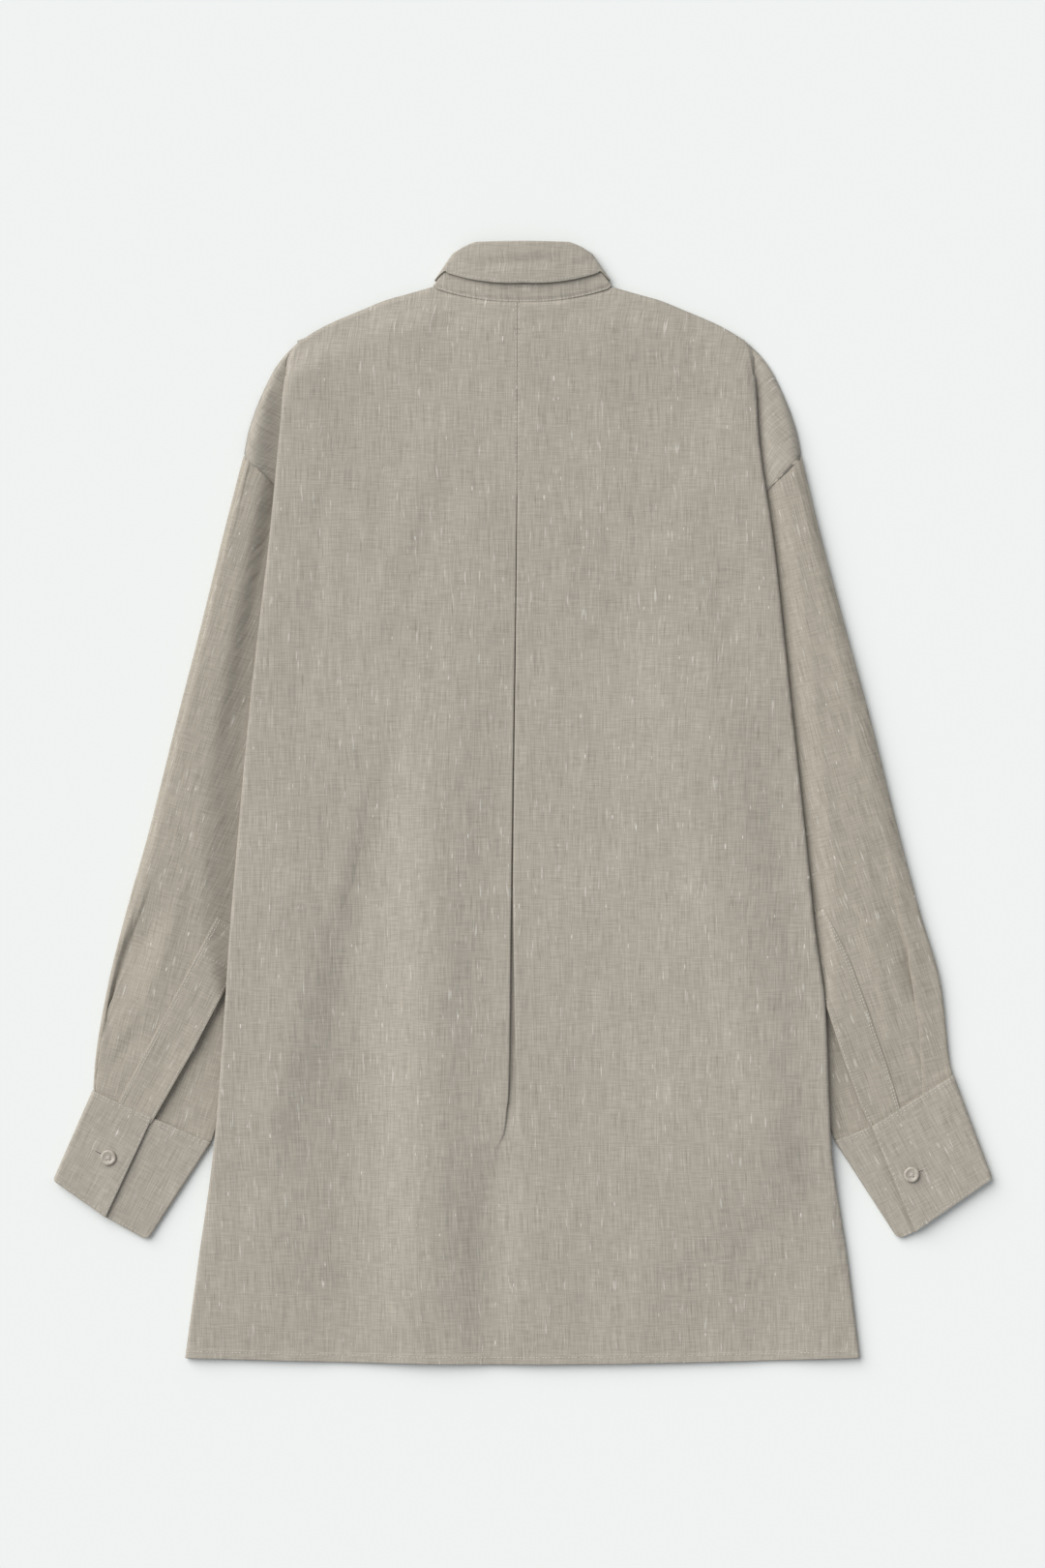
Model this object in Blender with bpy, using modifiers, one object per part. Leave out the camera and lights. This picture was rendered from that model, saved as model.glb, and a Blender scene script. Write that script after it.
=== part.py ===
"""A linen shirt, laid flat on its front with its back up and its sleeves beside the body.

Every cloth piece is a wall of one thickness on a middle surface that is lofted from rows of
points. Sizes are millimetres in the shirt's own frame: x across, y toward the collar, z up
from the surface that it lies on. The middle surfaces keep the order of the real layers.
"""

import math
from collections import namedtuple

import bmesh
import bpy

MM = 0.001

# ---- Driving sizes ----
WALL = 1.0                 # body, sleeves and plackets, with the ease that linen lies with
STAND_WALL = 1.2           # collar, two layers and a light interlining
CUFF_WALL = 1.6            # cuffs, two layers and an interlining
SEAM_GAP = 0.3             # left open between two pieces that are sewn together
HEM_Y = -430.0
HEM_DIP = 5.0              # the hem's middle hangs this much lower than its corners
NECK_HALF = 69.0
BACK_NECK_Y = 387.5
BACK_NECK_RISE = 11.5
FRONT_NECK_Y = 320.0
SHOULDER_BLEND_Y = 300.0   # rows above this bend to follow the shoulder line
ARMHOLE_TOP_Y = 267.0
CAP_TOP_Y = 344.0
UNDERARM_Y = 142.0
UNDERARM_X = 90.0
TUCK_TOP_Y = 308.0         # the body's fold over the sleeve is full below this
TUCK_TOP_DEPTH = 5.0
NEST = 1.4                 # the front's folds lie inside the back's crest, and outside its
NEST_WIDER = 1.45          # inner fold, which slants and so needs this much more room
FRONT_OVERLAP = 15.0
PLEAT_STITCH_Y = 239.0     # the centre back pleat is sewn shut above this
PLEAT_DEPTH = 30.0
FOLD_RADIUS = 0.9
CUFF_BUTTON_RADIUS = 6.0
CUFF_BUTTON_THICK = 2.4
FRONT_BUTTON_RADIUS = 5.5
FRONT_BUTTON_THICK = 2.0   # these lie on the surface, under the closed front
FRONT_BUTTON_COUNT = 7
FRONT_BUTTON_TOP_Y = 268.0
FRONT_BUTTON_STEP = 98.0
BUTTON_DISH = 0.5

# Heights of the middle surfaces where the body lies over a sleeve, lowest layer first.
SLEEVE_UNDER_Z = 0.5
SLEEVE_TOP_Z = 2.3
BACK_RETURN_Z = 4.2
FRONT_RETURN_Z = 5.6
FRONT_TOP_Z = 7.4
BACK_TOP_Z = 8.8
# Elsewhere
FLOOR_Z = 0.5
BACK_SAG_Z = 7.0
NECK_FRONT_Z = 2.3
SHOULDER_BACK_Z = 3.9
SHOULDER_FRONT_Z = 2.3

# ---- Short tables ----
Crest = namedtuple("Crest", "y left right")
CREST = [                    # edge of the fold that the body makes over each sleeve
    Crest(-430, 261.0, 261.0), Crest(-353, 250.5, 251.5), Crest(-262, 238.0, 238.5),
    Crest(-158, 230.0, 234.0), Crest(-98, 226.0, 226.0), Crest(-38, 221.0, 220.0),
    Crest(82, 210.0, 207.0), Crest(202, 196.0, 194.0), Crest(284, 188.0, 182.5),
    Crest(331, 183.4, 179.5), Crest(352, 177.0, 175.5),
]
Shoulder = namedtuple("Shoulder", "x y")
SHOULDER = [                 # seam line from the neck point down over the arm
    Shoulder(69, 399.0), Shoulder(90, 393.0), Shoulder(106, 388.5), Shoulder(122, 382.0),
    Shoulder(156, 367.0), Shoulder(178, 352.0), Shoulder(191, 337.0), Shoulder(199, 322.0),
    Shoulder(208.5, 299.0), Shoulder(213, 284.0), Shoulder(216, 267.0),
]
Lift = namedtuple("Lift", "y z")
UNDER_LIFT = [               # how far the folded body is lifted by what lies under its edge
    Lift(-430, -3.7), Lift(-335, -3.7), Lift(-262, 0.6), Lift(-235, 1.2), Lift(-95, 1.2),
    Lift(-40, 0.0), Lift(430, 0.0),
]
Pleat = namedtuple("Pleat", "y x gap depth angle drop")
PLEAT = [      # its line, half the opening, depth, turn of each fold, drop of the underlay
    Pleat(400, -3.7, 0.65, 22.0, 180, 3.6),
    Pleat(PLEAT_STITCH_Y, -4.0, 0.65, PLEAT_DEPTH, 180, 3.6),
    Pleat(44, -6.6, 0.9, PLEAT_DEPTH, 180, 3.6), Pleat(-98, -8.5, 1.4, 22.0, 180, 3.6),
    Pleat(-150, -8.9, 2.2, 10.0, 180, 3.6), Pleat(-200, -9.4, 2.4, 0.0, 125, 3.6),
    Pleat(-255, -12.0, 3.4, 0.0, 70, 3.0), Pleat(-290, -12.0, 5.0, 0.0, 30, 1.8),
    Pleat(-335, -12.0, 8.0, 0.0, 14, 1.4), Pleat(-440, -12.0, 10.0, 0.0, 8, 1.0),
]
PLEAT_PULL = (20.0, 60.0)    # the sheet beside the pleat follows its line out to here
Centre = namedtuple("Centre", "y back right left")
CENTRE = [                   # heights of the back and of the two fronts on the middle line
    Centre(400, 9.2, 2.8, 4.2), Centre(-240, 9.2, 2.8, 4.2), Centre(-330, 7.8, 2.8, 4.2),
    Centre(-385, 6.2, 1.2, 2.6), Centre(-440, 4.8, 0.5, 1.9),
]
Tuck = namedtuple("Tuck", "y angle share nest")
TUCK_TOP = [                 # how the body's fold over the sleeve opens out at its upper end
    Tuck(TUCK_TOP_Y, 180, 1.0, 1.0), Tuck(322, 130, 0.85, 1.9), Tuck(336, 60, 0.45, 1.9),
    Tuck(352, 14, 0.0, 1.4),
]
Ridge = namedtuple("Ridge", "x1 y1 x2 y2 half_width height")
RIDGES = [                   # the largest soft folds of the back, troughs below nought
    Ridge(-127, -60, -135, -400, 40, -1.6), Ridge(-67, 0, -72, -400, 36, 1.6),
    Ridge(112, 10, 112, -330, 60, 2.2), Ridge(70, 250, 62, 40, 22, 0.9),
    Ridge(-60, 300, -120, 130, 20, 0.8), Ridge(190, -300, 176, -425, 22, 1.3),
]
ROWS_Y = [-430, -385, -335, -290, -255, -200, -150, -98, -40, 20, 82, UNDERARM_Y, 153,
          180, 210, 240, ARMHOLE_TOP_Y, SHOULDER_BLEND_Y, TUCK_TOP_Y, 322, 336, 352]
TOP_ROW_Y = ROWS_Y[-1]

Outer = namedtuple("Outer", "left_x left_y right_x right_y")
SLEEVE_OUTER = [             # the sleeve's outer edge, from the armhole to the cuff
    Outer(-216.0, 267.0, 216.0, 267.0), Outer(-228.8, 216.8, 228.0, 216.8),
    Outer(-251.0, 126.8, 252.0, 126.8), Outer(-266.5, 66.8, 268.5, 66.8),
    Outer(-289.0, -23.0, 291.0, -23.0), Outer(-306.0, -83.0, 307.0, -83.0),
    Outer(-321.0, -143.0, 324.0, -143.0), Outer(-331.0, -203.0, 331.0, -203.0),
    Outer(-332.2, -222.8, 333.0, -210.8),
]
CUFF_TOP_INNER = {"left": (-241.5, -263.2), "right": (242.0, -261.5)}
Station = namedtuple("Station", "t tuck_l slit_l band_l pleat_l tuck_r slit_r band_r pleat_r crown")
SLEEVE = [                   # shares of the width from the outer edge, and the crown's height
    Station(0.00, .17, .140, .110, .060, .20, .160, .120, .070, 2.0),
    Station(0.10, .24, .200, .150, .080, .25, .210, .150, .080, 3.0),
    Station(0.20, .30, .250, .180, .090, .31, .260, .190, .090, 4.0),
    Station(0.32, .37, .310, .230, .090, .38, .320, .240, .100, 4.6),
    Station(0.45, .47, .400, .320, .100, .49, .410, .330, .110, 5.0),
    Station(0.57, .57, .500, .440, .110, .58, .510, .460, .120, 5.2),
    Station(0.66, .65, .590, .545, .120, .655, .600, .560, .130, 5.0),
    Station(0.73, .71, .650, .500, .115, .72, .665, .525, .140, 4.8),
    Station(0.80, .717, .657, .448, .095, .753, .693, .507, .163, 4.4),
    Station(0.87, .675, .615, .390, .080, .756, .696, .495, .190, 3.8),
    Station(0.94, .600, .540, .312, .070, .752, .692, .470, .215, 3.0),
    Station(1.00, .523, .463, .223, .065, .726, .666, .459, .252, 2.2),
]
SLIT_TOP = 0.66
SleevePleat = namedtuple("SleevePleat", "t angle drop")
SLEEVE_PLEAT = [             # turn and height of the small pleat above each cuff
    SleevePleat(0.0, 8, 0.15), SleevePleat(0.57, 8, 0.15), SleevePleat(0.66, 40, 1.4),
    SleevePleat(0.73, 110, 3.6), SleevePleat(0.80, 180, 3.6), SleevePleat(1.0, 180, 3.6),
]
SLEEVE_PLEAT_DEPTH = {"left": 6.0, "right": 10.0}

Cuff = namedtuple("Cuff", "x_top y_top x_bottom y_bottom")
CUFFS = {
    "left": {
        "outer": Cuff(-332.2, -222.8, -363.2, -292.0),
        "edge": Cuff(-286.5, -243.8, -322.5, -321.0),
        "inner": Cuff(-241.5, -263.2, -289.0, -336.0),
        "button": (-320.2, -274.5),
    },
    "right": {
        "outer": Cuff(333.0, -210.8, 363.2, -291.0),
        "edge": Cuff(270.0, -250.5, 303.8, -332.0),
        "inner": Cuff(242.0, -261.5, 290.5, -336.5),
        "button": (300.8, -287.6),
    },
}
CUFF_UNDER_Z = 0.8
CUFF_UNDERLAP_Z = 3.2
CUFF_OVERLAP_Z = 5.4
CUFF_HIDDEN_LAP = 18.0     # the underlap reaches this far in under the overlap

Finish = namedtuple("Finish", "name colour roughness metallic")
LINEN = Finish("linen", (0.388, 0.349, 0.303, 1.0), 0.9, 0.0)
SLEEVE_LINEN = Finish("linen", (0.370, 0.331, 0.277, 1.0), 0.9, 0.0)
BUTTON = Finish("button", (0.47, 0.43, 0.375, 1.0), 0.45, 0.0)


# ---- Small tools ----
def smooth(value, low, high):
    """0 below low, 1 above high, and an S-curve between them."""
    share = min(1.0, max(0.0, (value - low) / (high - low)))
    return share * share * (3.0 - 2.0 * share)


def mix(first, second, share):
    return first + (second - first) * share


def mix_points(first, second, share):
    return tuple(mix(a, b, share) for a, b in zip(first, second))


def between(table, key, column, value):
    """The value of one column, read from a table whose key column runs up or down."""
    for one, two in zip(table, table[1:]):
        a, b = getattr(one, key), getattr(two, key)
        if min(a, b) <= value <= max(a, b):
            return mix(getattr(one, column), getattr(two, column), (value - a) / (b - a))
    ends = sorted((table[0], table[-1]), key=lambda row: getattr(row, key))
    return getattr(ends[0] if value < getattr(ends[0], key) else ends[1], column)


def arc(cx, cz, radius, start, end, steps):
    """Points (x, z) round a centre, angles in degrees."""
    turns = [math.radians(mix(start, end, i / steps)) for i in range(steps + 1)]
    return [(cx + radius * math.cos(a), cz + radius * math.sin(a)) for a in turns]


def material(name, finish):
    made = bpy.data.materials.new(name + "_" + finish.name)
    made.use_nodes = True
    shader = made.node_tree.nodes["Principled BSDF"]
    shader.inputs["Base Color"].default_value = finish.colour
    shader.inputs["Roughness"].default_value = finish.roughness
    shader.inputs["Metallic"].default_value = finish.metallic
    return made


def piece(name, rows, finish=LINEN, wall=WALL, ring=False, left_out=()):
    """A wall on the grid of rows of points; None is a place with no cloth.

    ring joins each row's last point to its first; left_out holds (row, column) cells."""
    mesh = bpy.data.meshes.new(name)
    shape = bmesh.new()
    made = [[shape.verts.new([c * MM for c in p]) if p else None for p in row] for row in rows]
    for i, (low, high) in enumerate(zip(made, made[1:])):
        for j in range(len(low) if ring else len(low) - 1):
            k = (j + 1) % len(low)
            corners = [low[j], low[k], high[k], high[j]]
            if all(corners) and (i, j) not in left_out:
                shape.faces.new(corners)
    bmesh.ops.delete(shape, geom=[v for v in shape.verts if not v.link_faces], context="VERTS")
    bmesh.ops.recalc_face_normals(shape, faces=shape.faces)
    shape.to_mesh(mesh)
    shape.free()
    obj = bpy.data.objects.new(name, mesh)
    shirt.objects.link(obj)
    mesh.materials.append(material(name, finish))
    solid = obj.modifiers.new("wall", "SOLIDIFY")
    solid.thickness = wall * MM
    solid.offset = 0.0
    solid.use_even_offset = True
    solid.use_rim = True
    return obj


# ---- Outline of the body ----
def crest_x(side, y):
    return between(CREST, "y", side, y)


def shoulder_y(x):
    return between(SHOULDER, "x", "y", x)


def shoulder_x(y):
    return between(SHOULDER, "y", "x", y)


def back_neck_y(x):
    return BACK_NECK_Y + BACK_NECK_RISE * min(1.0, abs(x) / NECK_HALF) ** 2.2


def front_neck_y(x):
    share = min(1.0, max(0.0, (abs(x) - 10.0) / (NECK_HALF - 10.0)))
    return mix(FRONT_NECK_Y, back_neck_y(NECK_HALF), share ** 2.4)


def back_top_y(x):
    return back_neck_y(x) if abs(x) < NECK_HALF else shoulder_y(abs(x))


def front_top_y(x):
    return front_neck_y(x) if abs(x) < NECK_HALF else shoulder_y(abs(x))


def hem_y(x, side):
    return HEM_Y - HEM_DIP * math.cos(min(1.0, abs(x) / crest_x(side, HEM_Y)) * math.pi / 2)


def inner_fold_x(side, y):
    """The fold line, hidden under the body, from the shoulder to the underarm."""
    share = (y - UNDERARM_Y) / (TUCK_TOP_Y - UNDERARM_Y)
    return mix(UNDERARM_X, crest_x(side, TUCK_TOP_Y) - TUCK_TOP_DEPTH, share)


def side_seam_x(side, y):
    share = (UNDERARM_Y - y) / (UNDERARM_Y - HEM_Y)
    return mix(UNDERARM_X, crest_x(side, HEM_Y) - 6.0, share)


def armhole_x(y):
    share = (y - UNDERARM_Y) / (ARMHOLE_TOP_Y - UNDERARM_Y)
    return mix(UNDERARM_X, SHOULDER[-1].x, share)


def covered_x(side, y):
    """How far in the hidden layers under the body reach."""
    if y >= UNDERARM_Y:
        return inner_fold_x(side, min(y, TUCK_TOP_Y)) - 3.4
    share = (UNDERARM_Y - y) / (UNDERARM_Y - CUFF_TOP_INNER[side][1])
    sleeve = mix(UNDERARM_X, abs(CUFF_TOP_INNER[side][0]), share) if share < 1.0 else 400.0
    return min(side_seam_x(side, y), sleeve) - 2.5


# ---- Heights of the body ----
RAMP = 37.0                # run of the slope that climbs onto the folds and the sleeve
PLEAT_SLOPE = (36.0, 74.0)       # from the middle: the back's slope down beside its pleat
BAND_SLOPE = (17.0, 44.0)        # and the fronts' slope down beside their buttoned edges
SEAM_SLOPE = 30.0                # run of the slope up from the shoulder seam
NECK_SLOPE = (25.0, 40.0)        # and up from the neck seam, of the fronts and of the back
COLLAR_REST = (235.0, 262.0)     # the fronts lie on the collar's points above this
COLLAR_REST_X = (80.0, 110.0)
HEM_SAG = 3.0                    # the back lies this much lower at its hem
HEM_SAG_RUN = (300.0, 430.0)
BACK_NECK_Z = 8.0


def front_z(x, y, side):
    lift = between(UNDER_LIFT, "y", "z", y)
    inner = covered_x(side, y)
    high = smooth(abs(x), inner - RAMP, inner)
    low = FLOOR_Z
    rest_in, rest_out = COLLAR_REST_X
    low += (NECK_FRONT_Z - FLOOR_Z) * smooth(y, *COLLAR_REST) * smooth(-abs(x), -rest_out, -rest_in)
    z = mix(low, FRONT_TOP_Z + lift, high)
    band = between(CENTRE, "y", side, y)
    z = max(z, mix(low, band, smooth(-abs(x), -BAND_SLOPE[1], -BAND_SLOPE[0])))
    if abs(x) > NECK_HALF:
        z = mix(SHOULDER_FRONT_Z, z, smooth(front_top_y(x) - y, 0.0, SEAM_SLOPE))
    elif abs(x) > FRONT_OVERLAP:
        z = mix(NECK_FRONT_Z, z, smooth(front_neck_y(x) - y, 0.0, NECK_SLOPE[0]))
    return z


def ridge_z(x, y):
    height = 0.0
    for fold in RIDGES:
        run_x, run_y = fold.x2 - fold.x1, fold.y2 - fold.y1
        along = ((x - fold.x1) * run_x + (y - fold.y1) * run_y) / (run_x ** 2 + run_y ** 2)
        off = abs(x - fold.x1 - run_x * along) / fold.half_width
        if off < 1.0 and -0.2 < along < 1.2:
            ends = smooth(along, -0.2, 0.2) * smooth(-along, -1.2, -0.85)
            height += fold.height * math.cos(off * math.pi / 2) ** 2 * ends
    return height


def neck_z(x):
    return mix(BACK_NECK_Z, SHOULDER_BACK_Z + SEAM_GAP, min(1.0, abs(x) / NECK_HALF) ** 2)


def back_z(x, y, side):
    lift = between(UNDER_LIFT, "y", "z", y)
    inner = covered_x(side, y)
    high = smooth(abs(x), inner - RAMP, inner)
    sag = BACK_SAG_Z - HEM_SAG * smooth(-y, *HEM_SAG_RUN)
    z = mix(sag, BACK_TOP_Z + lift, high)
    beside = smooth(-abs(x), -PLEAT_SLOPE[1], -PLEAT_SLOPE[0])
    z = max(z, mix(sag, between(CENTRE, "y", "back", y), beside))
    z += ridge_z(x, y)
    if abs(x) > NECK_HALF:
        z = mix(SHOULDER_BACK_Z, z, smooth(back_top_y(x) - y, 0.0, SEAM_SLOPE))
    else:
        z = mix(neck_z(x), z, smooth(back_top_y(x) - y, 0.0, NECK_SLOPE[1]))
    return z


# ---- Rows of the body ----
SHEET_COLUMNS = (18.0, 36.0, 54.0)   # x of the columns by the pleat, the third at the neck only
CREST_LAND = 5.0                     # the sheet is level for this far before its crest
HEM_BEND_Y = -300.0                  # rows below this bend to follow the hem
STEP_ANGLE = 30                      # a fold that turns less than this is a smooth step
STEP_WIDTH = 4.0
OPEN_RADIUS = 0.9                    # of a fold that has opened past a right angle


def top_sheet_x(side, y):
    """Where the columns of the body's upper sheet stand, out from the pleat to the crest."""
    crest = crest_x(side, y) - CREST_LAND
    inner = min(covered_x(side, y), crest - 2.0)
    ramp_in = inner - RAMP
    near, far, neck = SHEET_COLUMNS
    xs = [mix(far, ramp_in, s) for s in (0.25, 0.5, 0.75)]
    at_neck = smooth(y, SHOULDER_BLEND_Y, TOP_ROW_Y)
    xs = [mix(xs[0], neck, at_neck), mix(xs[1], NECK_HALF, at_neck), xs[2]]
    return [near, far] + xs + [ramp_in, inner - RAMP / 2, inner, mix(inner, crest, 0.5)]


def row_height(y, x, side, top_y):
    """The y of a point on a row, which bends to the hem below and to the shoulder above."""
    if y > SHOULDER_BLEND_Y:
        share = (y - SHOULDER_BLEND_Y) / (TOP_ROW_Y - SHOULDER_BLEND_Y)
        return mix(SHOULDER_BLEND_Y, top_y(x), share)
    if y < HEM_BEND_Y:
        return y + (hem_y(x, side) - HEM_Y) * (1.0 - smooth(y, HEM_Y, HEM_BEND_Y))
    return y


def z_fold(edge, top, drop, angle, depth, radii, steps):
    """A sheet that turns down by an angle and back, as (x, z) points.

    At 180 degrees it is folded flat, with its edge at x = edge and its return depth wide;
    at less it is a step, whose length gives the whole drop."""
    a = math.radians(angle)
    r1, r2 = radii
    count = 2 * steps + 1
    if angle < STEP_ANGLE:
        width = max(STEP_WIDTH, drop / math.tan(a))
        return [(edge + width * (i / count - 0.5), top - drop * smooth(i, 0, count))
                for i in range(count + 1)]
    if angle >= 180:
        length = depth - r1 - r2
    else:
        length = (drop - (r1 + r2) * (1 - math.cos(a))) / math.sin(a)
    start = edge - r1 if angle >= 90 else edge - (r1 + r2 + length) * math.sin(a) / 2
    points = []
    for i in range(steps + 1):
        b = a * i / steps
        points.append((start + r1 * math.sin(b), top - r1 * (1 - math.cos(b))))
    x = points[-1][0] + length * math.cos(a)
    z = points[-1][1] - length * math.sin(a)
    for i in range(steps + 1):
        b = a * (1 - i / steps)
        points.append((x + r2 * (math.sin(a) - math.sin(b)), z - r2 * (math.cos(b) - math.cos(a))))
    return points


def tuck(side, y, top, mid, low, nest):
    """The body's fold over the sleeve: crest, return and inner fold, then the cap.

    It is a list of points out from the crest, with None where the side seam has ended it.
    nest is how far the front's folds lie inside and outside those of the back."""
    if y > TUCK_TOP_Y:
        nest *= between(TUCK_TOP, "y", "nest", y)
    crest = crest_x(side, y) - nest
    radius = (top - mid) / 2
    if y <= UNDERARM_Y:
        seam = side_seam_x(side, y)
        crest_arc = arc(crest - radius, top - radius, radius, 90, -90, 3)
        run = [mix(crest - radius, seam, s) for s in (0.33, 0.67, 1.0)]
        return [(x, y, z) for x, z in crest_arc] + [(x, y, mid) for x in run] + [None] * 7
    turn = (mid - low) / 2
    inner = inner_fold_x(side, y) - nest * NEST_WIDER
    angle = between(TUCK_TOP, "y", "angle", y) if y >= TUCK_TOP[0].y else 180
    high = mix(low + 1.6, top, between(TUCK_TOP, "y", "share", y)) if y >= TUCK_TOP[0].y else top
    depth = max(crest - inner, radius + turn + 0.8)
    radii = (radius, turn) if angle >= 90 else (OPEN_RADIUS, OPEN_RADIUS)
    fold = z_fold(crest, high, high - low, angle, depth, radii, 3)
    run = [mix_points(fold[3], fold[4], s) for s in (0.33, 0.67)]
    share = max(0.0, (y - SHOULDER_BLEND_Y) / (TOP_ROW_Y - SHOULDER_BLEND_Y))
    edge_y = mix(SHOULDER_BLEND_Y, CAP_TOP_Y, share) if share > 0.0 else y
    edge = (armhole_x(y) if y <= ARMHOLE_TOP_Y else shoulder_x(edge_y)) - SEAM_GAP / 2
    start = fold[-1][0]
    edge = max(edge, start + 1.5)
    middle = min(max(crest + nest + 1.0, mix(start, edge, 0.3)), mix(start, edge, 0.6))
    cap = [mix(start, middle, 0.5), middle, mix(middle, edge, 0.5), edge]
    cap_z = [cap_top_z(side, x, y) if low > 1.0 else low for x in cap]
    cap_y = [mix(y, edge_y, s) for s in (0.3, 0.6, 0.8, 1.0)]
    points = [(x, y, z) for x, z in fold[:4] + run + fold[4:]] + list(zip(cap, cap_y, cap_z))
    if y >= TOP_ROW_Y:
        points = [(x, shoulder_y(x), z) for x, _, z in points]
    return points


def cap_top_z(side, x, y):
    """The back's cap swells a little between the crest and the shoulder line."""
    crest = crest_x(side, y)
    outer = shoulder_x(y) if y > ARMHOLE_TOP_Y else SHOULDER[-1].x
    share = min(1.0, max(0.0, (x - crest - 3.0) / max(4.0, outer - crest - 3.0)))
    return SLEEVE_TOP_Z + 2.0 * math.sin(math.pi * share) * smooth(y, 255, 300)


def pleat_side(y):
    """(distance from the centre, height) of the underlay and of one folded edge."""
    gap, depth, angle, drop = (between(PLEAT, "y", name, y)
                               for name in ("gap", "depth", "angle", "drop"))
    r = FOLD_RADIUS
    fold = [(-x, z) for x, z in z_fold(-gap, 0.0, drop, angle, depth, (r, r), 3)][::-1]
    return [(0.0, fold[0][1]), (fold[0][0] / 2, fold[0][1])] + fold


# ---- Back ----
def back_half(y, side):
    sign = 1 if side == "right" else -1
    lift = between(UNDER_LIFT, "y", "z", y)
    shift = between(PLEAT, "y", "x", y)
    points = []
    for x, z in pleat_side(y):
        place = sign * x + shift
        row_y = row_height(y, place, side, back_top_y)
        points.append((place, row_y, back_z(shift, row_y, side) + z))
    for x in top_sheet_x(side, y):
        place = sign * x + shift * (1.0 - smooth(x, *PLEAT_PULL))
        row_y = row_height(y, place, side, back_top_y)
        points.append((place, row_y, back_z(place, row_y, side)))
    top = BACK_TOP_Z + lift
    mid = BACK_RETURN_Z + lift
    for place in tuck(side, y, top, mid, SLEEVE_TOP_Z, 0.0):
        points.append(place and (sign * place[0], place[1], place[2]))
    return points


def make_back():
    rows = []
    for y in ROWS_Y:
        left = back_half(y, "left")
        rows.append(left[:0:-1] + back_half(y, "right"))
    return piece("back", rows)


# ---- Fronts ----
def front_row(y, side):
    sign = 1 if side == "right" else -1
    lift = between(UNDER_LIFT, "y", "z", y)
    xs = [-FRONT_OVERLAP, 0.0, FRONT_OVERLAP] + top_sheet_x(side, y)[1:]
    points = []
    for x in xs:
        row_y = row_height(y, x, side, front_top_y)
        points.append((sign * x, row_y, front_z(x, row_y, side)))
    top = FRONT_TOP_Z + lift
    mid = FRONT_RETURN_Z + lift
    for place in tuck(side, y, top, mid, SLEEVE_UNDER_Z, NEST):
        points.append(place and (sign * place[0], place[1], place[2]))
    return points


def make_front(side):
    return piece("front_" + side, [front_row(y, side) for y in ROWS_Y])


# ---- Sleeves ----
def sleeve_line(side, t):
    """Outer and inner end of one flattened ring of the sleeve."""
    lengths = [0.0]
    for one, two in zip(SLEEVE_OUTER, SLEEVE_OUTER[1:]):
        step = math.hypot(getattr(two, side + "_x") - getattr(one, side + "_x"),
                          getattr(two, side + "_y") - getattr(one, side + "_y"))
        lengths.append(lengths[-1] + step)
    Mark = namedtuple("Mark", "length x y")
    marks = [Mark(n, getattr(o, side + "_x"), getattr(o, side + "_y"))
             for n, o in zip(lengths, SLEEVE_OUTER)]
    outer = [between(marks, "length", axis, t * lengths[-1]) for axis in "xy"]
    sign = 1 if side == "right" else -1
    inner = mix_points((sign * UNDERARM_X, UNDERARM_Y), CUFF_TOP_INNER[side], t)
    return outer, inner


def sleeve_ring(side, t):
    """(share across, z) points: under layer, outer fold, upper layer, inner fold."""
    row = {name: between(SLEEVE, "t", name + "_" + side[0], t)
           for name in ("tuck", "slit", "band", "pleat")}
    crown = between(SLEEVE, "t", "crown", t)
    outer, inner = sleeve_line(side, t)
    width = math.dist(outer, inner)
    r = (SLEEVE_TOP_Z - SLEEVE_UNDER_Z) / 2

    def top_z(across):
        share = min(1.0, across / (row["tuck"] * width))
        return SLEEVE_TOP_Z + crown * math.sin(math.pi * share)

    edge = row["pleat"] * width
    angle = between(SLEEVE_PLEAT, "t", "angle", t)
    drop = between(SLEEVE_PLEAT, "t", "drop", t)
    depth = min(SLEEVE_PLEAT_DEPTH[side], edge - 2.4)
    turn = FOLD_RADIUS
    pleat = z_fold(edge, top_z(edge) + drop, drop, angle, depth, (turn, turn), 3)
    outer_r = mix(r, (pleat[0][1] - SLEEVE_UNDER_Z) / 2, smooth(t, 0.5, 0.8))
    outer_top = SLEEVE_UNDER_Z + 2 * outer_r
    upper = [(mix(outer_r, pleat[0][0], 0.5), mix(outer_top, pleat[0][1], 0.6))] + pleat
    places = [mix(max(edge, pleat[-1][0]), row["band"] * width, 0.5)]
    places += [row["band"] * width, mix(row["band"], row["slit"], 0.5) * width]
    places += [row["slit"] * width - 0.5, row["slit"] * width + 0.5, row["tuck"] * width]
    upper += [(x, top_z(x)) for x in places]
    upper += [(mix(row["tuck"] * width, width - r, 0.5), SLEEVE_TOP_Z)]
    outer_arc = arc(outer_r, SLEEVE_UNDER_Z + outer_r, outer_r, 270, 90, 3)
    inner_arc = arc(width - r, SLEEVE_UNDER_Z + r, r, 90, -90, 3)
    under = [(mix(width - r, outer_r, s), SLEEVE_UNDER_Z) for s in (0.33, 0.67)]
    ring = outer_arc + upper + inner_arc + under
    points = []
    for across, z in ring:
        x, y = mix_points(outer, inner, across / width)
        points.append((x, y - 2 * SEAM_GAP, z) if t == 0.0 else (x, y, z))
    return points


BAND_COLUMN = 14          # columns of the sleeve's ring that the placket lies on
SLIT_COLUMN = 16
SLEEVE_TS = [row.t for row in SLEEVE]


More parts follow.
